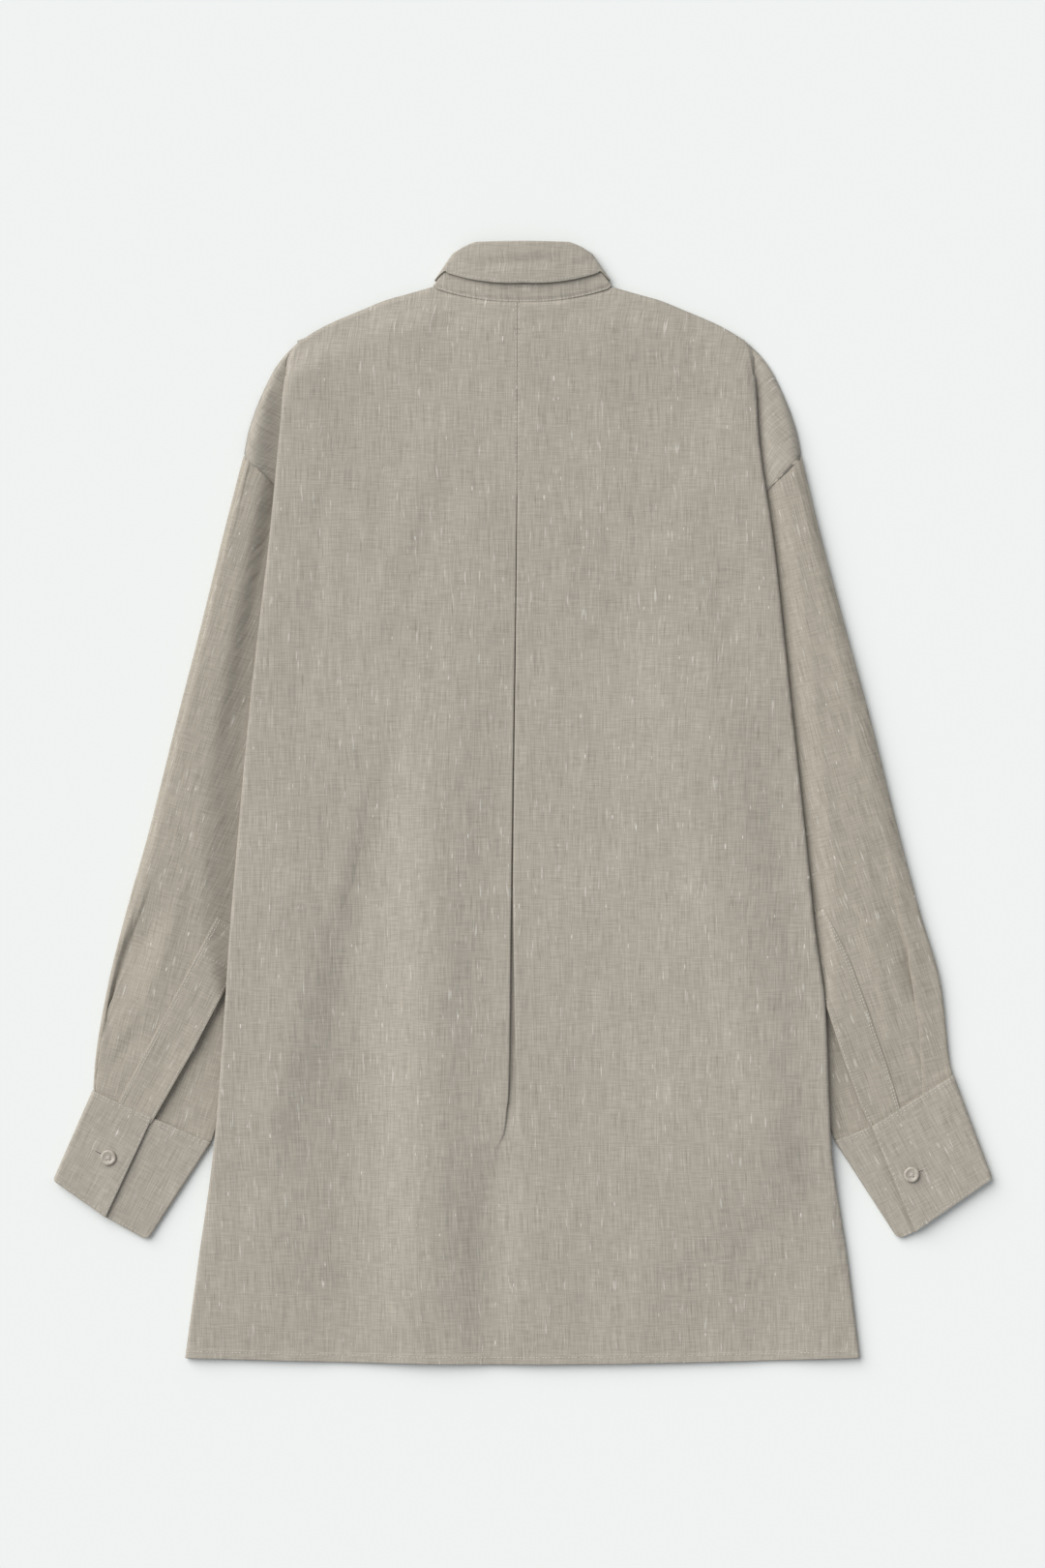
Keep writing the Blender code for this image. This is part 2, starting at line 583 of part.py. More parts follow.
def make_sleeve(side):
    rows = [sleeve_ring(side, t) for t in SLEEVE_TS]
    last = [mix_points(a, b, 1.0 - SEAM_GAP / 33.0) for a, b in zip(rows[-2], rows[-1])]
    rows[-1] = last
    slit = [(i, SLIT_COLUMN) for i, t in enumerate(SLEEVE_TS[:-1]) if t >= SLIT_TOP]
    piece("sleeve_" + side, rows, SLEEVE_LINEN, ring=True, left_out=slit)
    band = []
    for t, row in zip(SLEEVE_TS, rows):
        if t >= SLIT_TOP:
            columns = row[BAND_COLUMN:SLIT_COLUMN + 1] + [row[SLIT_COLUMN + 2]]
            band.append([(x, y, z + WALL + 0.4) for x, y, z in columns])
    piece("placket_" + side, band, SLEEVE_LINEN)


# ---- Cuffs ----
def make_cuff(side):
    place = CUFFS[side]
    rows = []
    for down in (0.0, 0.5, 1.0):
        corner = {}
        for name in ("outer", "edge", "inner"):
            c = place[name]
            corner[name] = mix_points((c.x_top, c.y_top), (c.x_bottom, c.y_bottom), down)
        width = math.dist(corner["outer"], corner["inner"])
        edge = math.dist(corner["outer"], corner["edge"])
        big = (CUFF_OVERLAP_Z - CUFF_UNDER_Z) / 2
        small = (CUFF_UNDERLAP_Z - CUFF_UNDER_Z) / 2
        ring = [(edge, CUFF_OVERLAP_Z), (edge * 0.5, CUFF_OVERLAP_Z)]
        ring += arc(big, CUFF_UNDER_Z + big, big, 90, 270, 4)
        ring += [(mix(big, width - small, s), CUFF_UNDER_Z) for s in (0.33, 0.67)]
        ring += arc(width - small, CUFF_UNDER_Z + small, small, -90, 90, 3)
        hidden = edge - CUFF_HIDDEN_LAP
        ring += [(mix(width - small, hidden, s), CUFF_UNDERLAP_Z) for s in (0.5, 1.0)]
        row = []
        for across, z in ring:
            toward = "edge" if across <= edge else "inner"
            if toward == "edge":
                x, y = mix_points(corner["outer"], corner["edge"], across / edge)
            else:
                share = (across - edge) / (width - edge)
                x, y = mix_points(corner["edge"], corner["inner"], share)
            row.append((x, y, z))
        rows.append(row)
    piece("cuff_" + side, rows, wall=CUFF_WALL)
    low = CUFF_OVERLAP_Z + CUFF_WALL / 2 + SEAM_GAP
    button("cuff_button_" + side, place["button"] + (low,), CUFF_BUTTON_RADIUS, CUFF_BUTTON_THICK)


# ---- Collar ----
SIDE_BOTTOM = (69.5, 401.2)      # where the collar's fold beside the neck meets the shoulder
SIDE_TOP = (47.5, 433.5)
SIDE_STEPS = 4
SIDE_INSET = 3.0                 # the ring's middle stands this far inside that fold
STAND_HEIGHT = 34.0
STAND_LAP = 1.9                  # the stand's left end lies this much over its right end
ROLL_Y = 432.0                   # the collar rolls over along this line at the back
FRONT_ROLL_HEIGHT = 43.0         # and at this height over the seam at the front
LEAF_EDGE = (3.0, 13.5)          # height of the leaf's edge over the seam, beside and behind
LEAF_CORNER = (62.0, 402.0)      # the leaf's edge runs from here to its point
LEAF_POINT = (35.0, 292.0)
LEAF_END_X = 2.5                 # the leaf stops short of the stand's ends
SEAM_RISE = 0.6
FRONT_NECK_XS = (-9.0, 0.0, 15.0, 36.0, 54.0)     # the neckline's own columns
BACK_NECK_XS = (54.0, 36.0, 18.0, 0.0)
Ring = namedtuple("Ring", "mid stand leaf")
FLAT_RING = Ring(3.65, 1.35, 3.05)                # middle level and radii of stand and leaf
BACK_RING = Ring(5.25, 2.75, 5.6)                 # the same at the middle of the back


def collar_columns():
    """From the right front end round to the middle of the back, one dict for each column.

    base lies on the neck seam; up is the way the stand rises; out is the way that the
    outside of the collar faces; front is 1 at the front's middle and 0 beside the neck."""
    side_x, side_y = SIDE_BOTTOM
    length = math.dist(SIDE_BOTTOM, SIDE_TOP)
    side_up = ((SIDE_TOP[0] - side_x) / length, (SIDE_TOP[1] - side_y) / length)
    normal = (side_up[1], -side_up[0])
    side_base = (side_x - SIDE_INSET * normal[0], side_y - SIDE_INSET * normal[1])
    side_roll = (ROLL_Y - side_base[1]) / side_up[1]
    columns = []
    for x in FRONT_NECK_XS:
        share = 1.0 - max(0.0, x) / side_x
        base = (x - SEAM_GAP, front_neck_y(x) + SEAM_RISE)
        columns.append(dict(base=base, up=mix_points(side_up, (0.0, 1.0), share),
                            out=(0, 0, -1), ring=FLAT_RING, front=share,
                            roll=mix(side_roll, FRONT_ROLL_HEIGHT, share), edge=LEAF_EDGE[0]))
    for i in range(SIDE_STEPS + 1):
        angle = math.radians(180 - 180 * i / SIDE_STEPS)
        out = (normal[0] * math.sin(angle), normal[1] * math.sin(angle), math.cos(angle))
        behind = smooth(i, SIDE_STEPS / 2, SIDE_STEPS)
        columns.append(dict(base=side_base, up=side_up, out=out, ring=FLAT_RING, front=0.0,
                            roll=side_roll, edge=mix(*LEAF_EDGE, behind)))
    for x in BACK_NECK_XS:
        share = x / side_x
        up = mix_points((0.0, 1.0), side_up, share)
        base_y = back_neck_y(x) + SEAM_GAP
        columns.append(dict(base=(x, base_y), up=up, out=(0, 0, 1), front=0.0,
                            ring=Ring(*mix_points(BACK_RING, FLAT_RING, share ** 2)),
                            roll=(ROLL_Y - base_y) / up[1], edge=LEAF_EDGE[1]))
    return columns


def mirrored(column):
    other = dict(column)
    for key in ("base", "up", "out"):
        other[key] = (-column[key][0],) + tuple(column[key][1:])
    return other


def collar_point(column, height, radius):
    bx, by = column["base"]
    ux, uy = column["up"]
    ox, oy, oz = column["out"]
    return (bx + ux * height + ox * radius, by + uy * height + oy * radius,
            column["ring"].mid + oz * radius)


def make_collar():
    half = collar_columns()
    columns = half + [mirrored(column) for column in reversed(half[:-1])]
    rows = []
    for height in (SEAM_GAP, STAND_HEIGHT / 2, STAND_HEIGHT):
        row = [collar_point(c, height, c["ring"].stand) for c in columns]
        for i in (-1, -2, -3):                    # the left end laps over the right one
            x, y, z = row[i]
            row[i] = (x, y, z + STAND_LAP)
        rows.append(row)
    piece("collar_stand", rows, wall=STAND_WALL)
    leaf = []
    for column in columns[1:-1]:
        column = dict(column)
        if column["base"][0] == columns[1]["base"][0]:
            column["base"] = (LEAF_END_X, column["base"][1])
        elif column["base"][0] == columns[-2]["base"][0]:
            column["base"] = (-LEAF_END_X, column["base"][1])
        leaf.append(leaf_column(column))
    piece("collar_leaf", leaf, wall=STAND_WALL)


def leaf_column(column):
    """Up from the stand's top, over the roll and down to the leaf's edge."""
    ring = column["ring"]
    turn = (ring.leaf - ring.stand) / 2
    centre = (ring.leaf + ring.stand) / 2
    start = STAND_HEIGHT + SEAM_GAP + 0.1 + 0.8 * (column["front"] > 0.5)
    points = [collar_point(column, start, ring.stand)]
    for angle in (-90, -30, 30, 90):
        a = math.radians(angle)
        height = column["roll"] + turn * math.cos(a)
        points.append(collar_point(column, height, centre + turn * math.sin(a)))
    bx, by = column["base"]
    ux, uy = column["up"]
    top = (bx + ux * column["roll"], by + uy * column["roll"])
    sign = 1 if bx >= 0 else -1
    if column["front"] > 0.0:
        corner, point = ((sign * x, y) for x, y in (LEAF_CORNER, LEAF_POINT))
        low = mix_points(corner, point, column["front"] ** 0.8)
    else:
        low = (bx + ux * column["edge"], by + uy * column["edge"])
    ox, oy, oz = column["out"]
    for share in (0.35, 0.7, 1.0):
        x, y = mix_points(top, low, share)
        points.append((x + ox * ring.leaf, y + oy * ring.leaf, ring.mid + oz * ring.leaf))
    return points


# ---- Buttons ----
def button(name, place, radius, thick, dish_below=False):
    """A turned disc with a rim and a dished face; place is the middle of its lower face."""
    x, y, low = place
    mesh = bpy.data.meshes.new(name)
    shape = bmesh.new()
    bmesh.ops.create_cone(shape, cap_ends=True, segments=20, radius1=radius * MM,
                          radius2=radius * MM, depth=thick * MM)
    choose = min if dish_below else max
    face = choose(shape.faces, key=lambda one: one.calc_center_median().z)
    bmesh.ops.inset_individual(shape, faces=[face], thickness=radius * 0.28 * MM)
    inward = BUTTON_DISH if dish_below else -BUTTON_DISH
    bmesh.ops.translate(shape, verts=face.verts, vec=(0.0, 0.0, inward * MM))
    shape.to_mesh(mesh)
    shape.free()
    obj = bpy.data.objects.new(name, mesh)
    obj.location = (x * MM, y * MM, (low + thick / 2) * MM)
    mesh.materials.append(material(name, BUTTON))
    shirt.objects.link(obj)


# ---- The shirt ----
for old in list(bpy.data.objects):
    bpy.data.objects.remove(old, do_unlink=True)
shirt = bpy.data.collections.new("linen_shirt")
bpy.context.scene.collection.children.link(shirt)

make_back()
for wearer_side in ("left", "right"):
    make_front(wearer_side)
    make_sleeve(wearer_side)
    make_cuff(wearer_side)
make_collar()
for number in range(FRONT_BUTTON_COUNT):
    seat = (0.0, FRONT_BUTTON_TOP_Y - FRONT_BUTTON_STEP * number, 0.0)
    button(f"front_button_{number + 1}", seat, FRONT_BUTTON_RADIUS, FRONT_BUTTON_THICK, True)
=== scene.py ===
"""A loose linen shirt, laid out flat on its front and seen from above, with its back up.

Sizes are millimetres in the shirt's own frame: x across, y toward the collar, z up.
"""

import math
from collections import namedtuple
from functools import lru_cache

import bmesh
import bpy
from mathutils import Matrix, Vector, noise


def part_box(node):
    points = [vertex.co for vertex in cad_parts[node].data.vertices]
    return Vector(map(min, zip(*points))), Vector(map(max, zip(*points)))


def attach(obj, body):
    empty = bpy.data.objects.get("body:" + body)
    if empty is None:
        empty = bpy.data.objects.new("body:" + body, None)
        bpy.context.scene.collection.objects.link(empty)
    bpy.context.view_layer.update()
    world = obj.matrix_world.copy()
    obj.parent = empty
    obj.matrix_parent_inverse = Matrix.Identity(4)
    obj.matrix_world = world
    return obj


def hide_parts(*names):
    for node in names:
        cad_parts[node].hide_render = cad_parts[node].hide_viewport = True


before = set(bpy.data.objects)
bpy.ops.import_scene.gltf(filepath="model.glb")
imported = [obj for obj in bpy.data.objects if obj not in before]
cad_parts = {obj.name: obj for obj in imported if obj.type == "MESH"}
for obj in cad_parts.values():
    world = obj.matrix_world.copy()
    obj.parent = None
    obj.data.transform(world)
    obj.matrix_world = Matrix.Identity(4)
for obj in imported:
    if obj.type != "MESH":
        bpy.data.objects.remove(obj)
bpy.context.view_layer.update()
MM = 0.001

# ---- Table, daylight and camera ----
# A plain pale table top. Soft daylight comes from the upper left, and the room is pale.
# The camera hangs straight over the shirt, with a long lens.
TABLE_COLOUR = (0.80, 0.82, 0.812, 1.0)
TABLE_SIZE = 12.0          # in metres
TABLE_TOP = -0.0002        # just under the cloth
DAYLIGHT_COLOUR = (1.0, 0.988, 0.965)
DAYLIGHT_POWER = 3.5
DAYLIGHT_WIDTH = 58.0      # in degrees, as seen from the shirt
WINDOW_PLACE = (-1.5, 1.3, 1.55)
ROOM_COLOUR = (0.95, 0.975, 1.0, 1.0)
ROOM_LIGHT = 0.42
PHOTO_PIXELS_HIGH = 1620
PHOTO_MM_PER_PIXEL = 0.75
PHOTO_CENTRE_Y = 14.25
LENS = 85.0
SENSOR = 36.0

bpy.ops.object.select_all(action="DESELECT")
bpy.ops.mesh.primitive_plane_add(size=TABLE_SIZE, location=(0.0, 0.0, TABLE_TOP))
table = bpy.context.object
table.name = "table_top"
table_paint = bpy.data.materials.new("table_top_paint")
table_paint.use_nodes = True
paint_shader = table_paint.node_tree.nodes["Principled BSDF"]
paint_shader.inputs["Base Color"].default_value = TABLE_COLOUR
paint_shader.inputs["Roughness"].default_value = 0.9
paint_shader.inputs["Specular IOR Level"].default_value = 0.1
table.data.materials.append(table_paint)

daylight = bpy.data.lights.new("window_daylight", "SUN")
daylight.energy = DAYLIGHT_POWER
daylight.angle = math.radians(DAYLIGHT_WIDTH)
daylight.color = DAYLIGHT_COLOUR
window = bpy.data.objects.new("window_daylight", daylight)
window.location = WINDOW_PLACE
window.rotation_euler = (-Vector(window.location)).to_track_quat("-Z", "Y").to_euler()
bpy.context.scene.collection.objects.link(window)

room = bpy.data.worlds.new("pale_room")
room.use_nodes = True
room_light = room.node_tree.nodes["Background"]
room_light.inputs["Color"].default_value = ROOM_COLOUR
room_light.inputs["Strength"].default_value = ROOM_LIGHT
bpy.context.scene.world = room
bpy.context.scene.view_settings.view_transform = "Standard"

frame_height = PHOTO_PIXELS_HIGH * PHOTO_MM_PER_PIXEL * MM
camera_data = bpy.data.cameras.new("camera")
camera_data.lens = LENS
camera_data.sensor_width = SENSOR
camera = bpy.data.objects.new("camera", camera_data)
camera.location = (0.0, PHOTO_CENTRE_Y * MM, frame_height / SENSOR * LENS)
bpy.context.scene.collection.objects.link(camera)
bpy.context.scene.camera = camera


# ---- Back ----
# One wide panel of plain-woven linen. It folds over each sleeve, and down its middle it has
# an inverted pleat that is sewn shut near the neck. The hem is turned twice and stitched.
CLOTH = 0.55               # thickness of one layer
SEAM_GAP = 0.3
HEM_Y = -430.0
HEM_DIP = 5.0
HEM_DEPTH = 6.5
HEM_STITCH = 5.4           # from the hem's edge up to its stitches
HEM_RISE = 0.35            # of the turned hem over the cloth, with a step at its upper edge
HEM_STEP = 0.8
HEM_DENT = 0.22            # along the stitches
HEM_DENT_SPREAD = 0.5
NECK_HALF = 69.0
BACK_NECK_Y = 387.5
BACK_NECK_RISE = 11.5
SHOULDER_BLEND_Y = 300.0
TOP_ROW_Y = 352.0
ARMHOLE_TOP_Y = 267.0
CAP_TOP_Y = 344.0
UNDERARM_Y = 142.0
UNDERARM_X = 90.0
TUCK_TOP_Y = 308.0
TUCK_TOP_DEPTH = 5.0
TUCK_TOP_RISE = 1.6        # of the side fold over the cap, where it has opened out
SIDE_SEAM_INSET = 6.0      # from the crest to the side seam, at the hem
FOLD_COVER = 3.4           # the cloth above has risen so far before a hidden fold or seam
SEAM_COVER = 2.5
LEAST_RETURN = 0.8         # least widths of a side fold's return, and of the cap
LEAST_CAP = 1.5
OPEN_RADIUS = 0.9
CREST_LAND = 5.0           # inside the crest the cloth is level
HEM_BEND_Y = -300.0        # below this the rows bend to the hem's line

FOLD_RADIUS = 0.9          # of the pleat's folds
LEFT_RADIUS = 0.6
DIP_WIDTH = 24.0           # the cloth beside the pleat dips to it over this width
SHORT_RETURN = 1.6
PLEAT_BESIDE = 2.0
STEP_ANGLE = 30            # a fold that has turned less is only a step in the cloth
STEP_WIDTH = 12.0          # width of the flattest step
STEP_LIMIT = 1.6           # and its most, as a share of its distance from the middle

SLEEVE_UNDER_Z = 0.5       # heights of the layers where the body lies over a sleeve
SLEEVE_TOP_Z = 2.3
BACK_RETURN_Z = 4.2
BACK_TOP_Z = 8.8
BACK_SAG_Z = 7.0
SHOULDER_BACK_Z = 3.9
BACK_NECK_Z = 8.0
RAMP = 37.0                # the cloth rises over this run to the height beside the crest
PLEAT_SLOPE = (36.0, 150.0)
SEAM_SLOPE = 30.0
BACK_NECK_SLOPE = 40.0
HEM_SAG = 3.0
HEM_SAG_RUN = (-430.0, -300.0)
NECK_DIP = 0.65            # the neck's edge dips under the stand
NECK_DIP_RUN = (1.0, 4.0)
BACK_RUMPLE = (34.0, 0.55)  # size across, and height
SMALL_FOLD_RUN = (-262.0, -245.0)  # below it the pleat's left fold has the common radius

Crest = namedtuple("Crest", "y left right")
CREST = [
    Crest(-430, 261.0, 261.0), Crest(-353, 250.5, 251.5), Crest(-262, 238.0, 238.5),
    Crest(-158, 230.0, 234.0), Crest(-98, 226.0, 226.0), Crest(-38, 221.0, 220.0),
    Crest(82, 210.0, 207.0), Crest(202, 196.0, 194.0), Crest(284, 188.0, 182.5),
    Crest(331, 183.4, 179.5), Crest(352, 177.0, 175.5),
]
Shoulder = namedtuple("Shoulder", "x y")
SHOULDER = [
    Shoulder(69, 399.0), Shoulder(90, 393.0), Shoulder(106, 388.5), Shoulder(122, 382.0),
    Shoulder(156, 367.0), Shoulder(178, 352.0), Shoulder(191, 337.0), Shoulder(199, 322.0),
    Shoulder(208.5, 299.0), Shoulder(213, 284.0), Shoulder(216, 267.0),
]
Lift = namedtuple("Lift", "y z")
UNDER_LIFT = [
    Lift(-430, -3.7), Lift(-335, -3.7), Lift(-262, 0.6), Lift(-235, 1.2), Lift(-95, 1.2),
    Lift(-40, 0.0), Lift(430, 0.0),
]
Pleat = namedtuple("Pleat", "y x left_gap left_turn left_dip right_gap right_turn depth drop radius")
PLEAT = [
    Pleat(400, -3.7, 0.22, 180, 0.0, 0.22, 180, 30.0, 3.6, 0.45),
    Pleat(242, -4.0, 0.22, 180, 0.0, 0.22, 180, 30.0, 3.6, 0.45),
    Pleat(236, -4.1, 0.45, 180, 0.5, 0.40, 180, 30.0, 3.6, 0.55),
    Pleat(140, -5.2, 0.60, 180, 1.2, 0.55, 180, 30.0, 3.6, 0.85),
    Pleat(50, -6.6, 0.65, 180, 1.2, 0.75, 180, 30.0, 3.6, 0.9),
    Pleat(-55, -8.0, 0.70, 180, 0.9, 1.0, 180, 26.0, 3.6, 0.9),
    Pleat(-105, -8.6, 0.8, 180, 0.1, 1.9, 180, 20.0, 3.6, 0.9),
    Pleat(-150, -8.9, 0.9, 180, 0.0, 3.0, 140, 10.0, 3.6, 0.9),
    Pleat(-205, -9.4, 1.1, 170, 0.0, 4.6, 84, 3.0, 3.5, 0.9),
    Pleat(-238, -10.4, 1.4, 80, 0.0, 7.0, 40, 0.0, 2.2, 0.9),
    Pleat(-254, -11.6, 2.4, 36, 0.0, 9.0, 22, 0.0, 1.0, 0.8),
    Pleat(-270, -13.2, 7.0, 16, 0.0, 11.0, 12, 0.0, 0.4, 0.8),
    Pleat(-300, -15.0, 10.0, 8, 0.0, 11.0, 7, 0.0, 0.15, 0.8),
    Pleat(-345, -16.0, 10.0, 6, 0.0, 11.0, 6, 0.0, 0.1, 0.8),
    Pleat(-440, -16.0, 10.0, 5, 0.0, 11.0, 5, 0.0, 0.05, 0.8),
]
Centre = namedtuple("Centre", "y back right left")
CENTRE = [
    Centre(400, 9.2, 2.8, 4.2), Centre(-240, 9.2, 2.8, 4.2), Centre(-330, 7.8, 2.8, 4.2),
    Centre(-385, 6.2, 1.2, 2.6), Centre(-440, 4.8, 0.5, 1.9),
]
Tuck = namedtuple("Tuck", "y angle share nest")
TUCK_TOP = [
    Tuck(TUCK_TOP_Y, 180, 1.0, 1.0), Tuck(322, 130, 0.85, 1.9), Tuck(336, 60, 0.45, 1.9),
    Tuck(352, 14, 0.0, 1.4),
]
Outer = namedtuple("Outer", "y left right")
SLEEVE_OUTER = [           # outer edge of each sleeve, from the armhole to the cuff
    Outer(267.0, 216.0, 216.0), Outer(216.8, 228.8, 228.0), Outer(126.8, 251.0, 252.0),
    Outer(66.8, 266.5, 268.5), Outer(-23.0, 289.0, 291.0), Outer(-83.0, 306.0, 307.0),
    Outer(-143.0, 321.0, 324.0), Outer(-203.0, 331.0, 331.0), Outer(-210.8, 331.6, 333.0),
    Outer(-222.8, 332.2, 335.0),
]
Swell = namedtuple("Swell", "y left right left_rise right_rise left_fall right_fall")
SWELL = [                  # height of the plump sleeve, and the runs of its two slopes
    Swell(352, 0.0, 0.0, 6, 6, 10, 8), Swell(318, 3.2, 2.6, 6, 7, 12, 10),
    Swell(290, 6.4, 5.0, 6, 8, 18, 12), Swell(245, 8.8, 6.8, 6, 9, 25, 15),
    Swell(180, 9.6, 7.6, 6, 11, 28, 18), Swell(60, 9.2, 7.8, 8, 12, 30, 20),
    Swell(-40, 8.4, 7.4, 8, 13, 28, 21), Swell(-100, 7.0, 6.6, 5, 11, 22, 16),
    Swell(-140, 5.8, 5.6, 4, 9, 9, 7), Swell(-165, 4.8, 4.8, 4, 8, 2, 2),
    Swell(-203, 3.2, 3.3, 4, 7, 2, 2), Swell(-240, 2.4, 2.4, 4, 6, 2, 2),
]
Placket = namedtuple("Placket", "y left_outer left_free right_outer right_free")
PLACKET = [                # the two edges of the band over each sleeve's slit
    Placket(-83.3, 233.5, 197.9, 233.6, 206.0), Placket(-117.0, 251.5, 215.5, 250.9, 220.5),
    Placket(-143.3, 265.6, 229.3, 261.0, 230.2), Placket(-173.3, 281.5, 245.0, 271.8, 240.0),
    Placket(-190.4, 290.6, 254.0, 277.5, 245.6), Placket(-207.0, 299.6, 263.5, 283.5, 251.5),
    Placket(-233.3, 313.6, 278.5, 291.2, 261.0), Placket(-252.0, 323.6, 289.5, 296.3, 270.0),
]
Corner = namedtuple("Corner", "x y")
Edge = namedtuple("Edge", "outer knee inner")
CUFF_TOP = {               # outer fold, edge of the overlap and inner fold, x counted outward
    "left": Edge(Corner(332.2, -222.8), Corner(286.5, -243.8), Corner(241.5, -263.2)),
    "right": Edge(Corner(333.0, -210.8), Corner(270.0, -250.5), Corner(242.0, -261.5)),
}
Fold = namedtuple("Fold", "x1 y1 x2 y2 half_width height")
BACK_FOLDS = [             # soft ridges, and troughs where the height is below nought
    Fold(-122, 10, -135, -400, 50, -3.2), Fold(-67, 60, -72, -400, 44, 4.2),
    Fold(128, 80, 158, -300, 105, 6.0), Fold(190, -320, 190, -430, 45, -2.0),
    Fold(-20, -262, -27, -425, 26, -2.2), Fold(96, -340, 92, -425, 50, 1.2),
    Fold(-190, -120, -200, -400, 30, 1.0), Fold(-60, 300, -120, 130, 24, 0.9),
    Fold(-152, 240, -172, 60, 18, -0.8), Fold(150, 230, 168, 90, 22, -0.9),
    Fold(60, 120, 70, -60, 22, -0.6), Fold(-160, 60, -90, 10, 12, 0.5),
    Fold(-30, 372, 2, 369, 4, 1.3), Fold(4, 371, 22, 373, 3, -1.3),
    Fold(-66, 372, -44, 373, 3.5, -1.3), Fold(-40, 376, -20, 374, 3, 0.9),
    Fold(60, 366, 84, 362, 5, -0.6), Fold(96, 350, 120, 338, 6, 0.6),
]
FOLD_START = (-0.2, 0.2)   # a fold fades in and out over these shares of its length
FOLD_END = (0.85, 1.2)
FOLD_END_RUN = 45.0        # the folds die out over this run from the crest
PLEAT_CLOSED = (20.0, 90.0)  # its layers lie parallel once they have turned so far
PLEAT_PULL = (20.0, 190.0)  # the sheet is drawn sideways with the pleat out to here


def smooth(value, low, high):
    """0 below low, 1 above high, and an S-curve between them."""
    share = min(1.0, max(0.0, (value - low) / (high - low)))
    return share * share * (3.0 - 2.0 * share)


def fall(value, low, high):
    """The other way round: 1 below low and 0 above high."""
    return smooth(-value, -high, -low)


def mix(first, second, share):
    return first + (second - first) * share


def mix_points(first, second, share):
    return tuple(mix(a, b, share) for a, b in zip(first, second))


def steps(first, last, count):
    return [mix(first, last, i / count) for i in range(count + 1)]


def curve(table, key, column):
    """A function that reads a column at any value of the key, with no corners at the rows."""
    rows = sorted(table, key=lambda row: getattr(row, key))
    x = [getattr(row, key) for row in rows]
    y = [getattr(row, column) for row in rows]
    rise = [(y[i + 1] - y[i]) / (x[i + 1] - x[i]) for i in range(len(x) - 1)]
    lean = [rise[0]]
    for one, two in zip(rise, rise[1:]):
        lean.append(2.0 * one * two / (one + two) if one * two > 0.0 else 0.0)
    lean.append(rise[-1])

    @lru_cache(maxsize=None)
    def read(value):
        value = min(x[-1], max(x[0], value))
        i = max(k for k in range(len(x) - 1) if x[k] <= value)
        h = x[i + 1] - x[i]
        t = (value - x[i]) / h
        return (y[i] * (1 + 2 * t) * (1 - t) ** 2 + lean[i] * h * t * (1 - t) ** 2
                + y[i + 1] * t * t * (3 - 2 * t) + lean[i + 1] * h * t * t * (t - 1))
    return read


def curves(table, key):
    """Such a function for each of the other columns, by the column's name."""
    return {name: curve(table, key, name) for name in table[0]._fields if name != key}


crest_x = curves(CREST, "y")
shoulder_y = curve(SHOULDER, "x", "y")
shoulder_x = curve(SHOULDER, "y", "x")
lift_z = curve(UNDER_LIFT, "y", "z")
centre_z = curves(CENTRE, "y")
tuck_top = curves(TUCK_TOP, "y")
pleat = curves(PLEAT, "y")
swell = curves(SWELL, "y")
sleeve_outer = curves(SLEEVE_OUTER, "y")
placket_x = curves(PLACKET, "y")


def back_neck_y(x):
    return BACK_NECK_Y + BACK_NECK_RISE * min(1.0, abs(x) / NECK_HALF) ** 2.2


def back_top_y(x):
    return back_neck_y(x) if abs(x) < NECK_HALF else shoulder_y(abs(x))


def hem_y(x, side):
    return HEM_Y - HEM_DIP * math.cos(min(1.0, abs(x) / crest_x[side](HEM_Y)) * math.pi / 2)


def inner_fold_x(side, y):
    share = (y - UNDERARM_Y) / (TUCK_TOP_Y - UNDERARM_Y)
    return mix(UNDERARM_X, crest_x[side](TUCK_TOP_Y) - TUCK_TOP_DEPTH, share)


def side_seam_x(side, y):
    share = (UNDERARM_Y - y) / (UNDERARM_Y - HEM_Y)
    return mix(UNDERARM_X, crest_x[side](HEM_Y) - SIDE_SEAM_INSET, share)


def armhole_x(y):
    share = (y - UNDERARM_Y) / (ARMHOLE_TOP_Y - UNDERARM_Y)
    return mix(UNDERARM_X, SHOULDER[-1].x, share)


def covered_x(side, y):
    """How far in the hidden layers under the body reach."""
    if y >= UNDERARM_Y:
        return inner_fold_x(side, min(y, TUCK_TOP_Y)) - FOLD_COVER
    reach = side_seam_x(side, y)
    cuff = CUFF_TOP[side].inner
    if y > cuff.y:
        share = (UNDERARM_Y - y) / (UNDERARM_Y - cuff.y)
        reach = min(reach, mix(UNDERARM_X, cuff.x, share))
    return reach - SEAM_COVER


def fold_z(folds, x, y):
    """The sum of the soft folds at one place."""
    height = 0.0
    for fold in folds:
        run_x, run_y = fold.x2 - fold.x1, fold.y2 - fold.y1
        along = ((x - fold.x1) * run_x + (y - fold.y1) * run_y) / (run_x ** 2 + run_y ** 2)
        if FOLD_START[0] < along < FOLD_END[1]:
            off_x, off_y = x - fold.x1 - run_x * along, y - fold.y1 - run_y * along
            off = math.hypot(off_x, off_y) / fold.half_width
            if off < 1.0:
                ends = smooth(along, *FOLD_START) * fall(along, *FOLD_END)
                height += fold.height * math.cos(off * math.pi / 2) ** 2 * ends
    return height


def rumple(x, y, size, height):
    """The slight unevenness that pressed linen keeps."""
    wide = noise.noise(Vector((x / size, y / size / 1.7, 3.7)))
    fine = noise.noise(Vector((x / size * 2.7, y / size * 1.9, 9.1)))
    return height * (wide + 0.35 * fine)


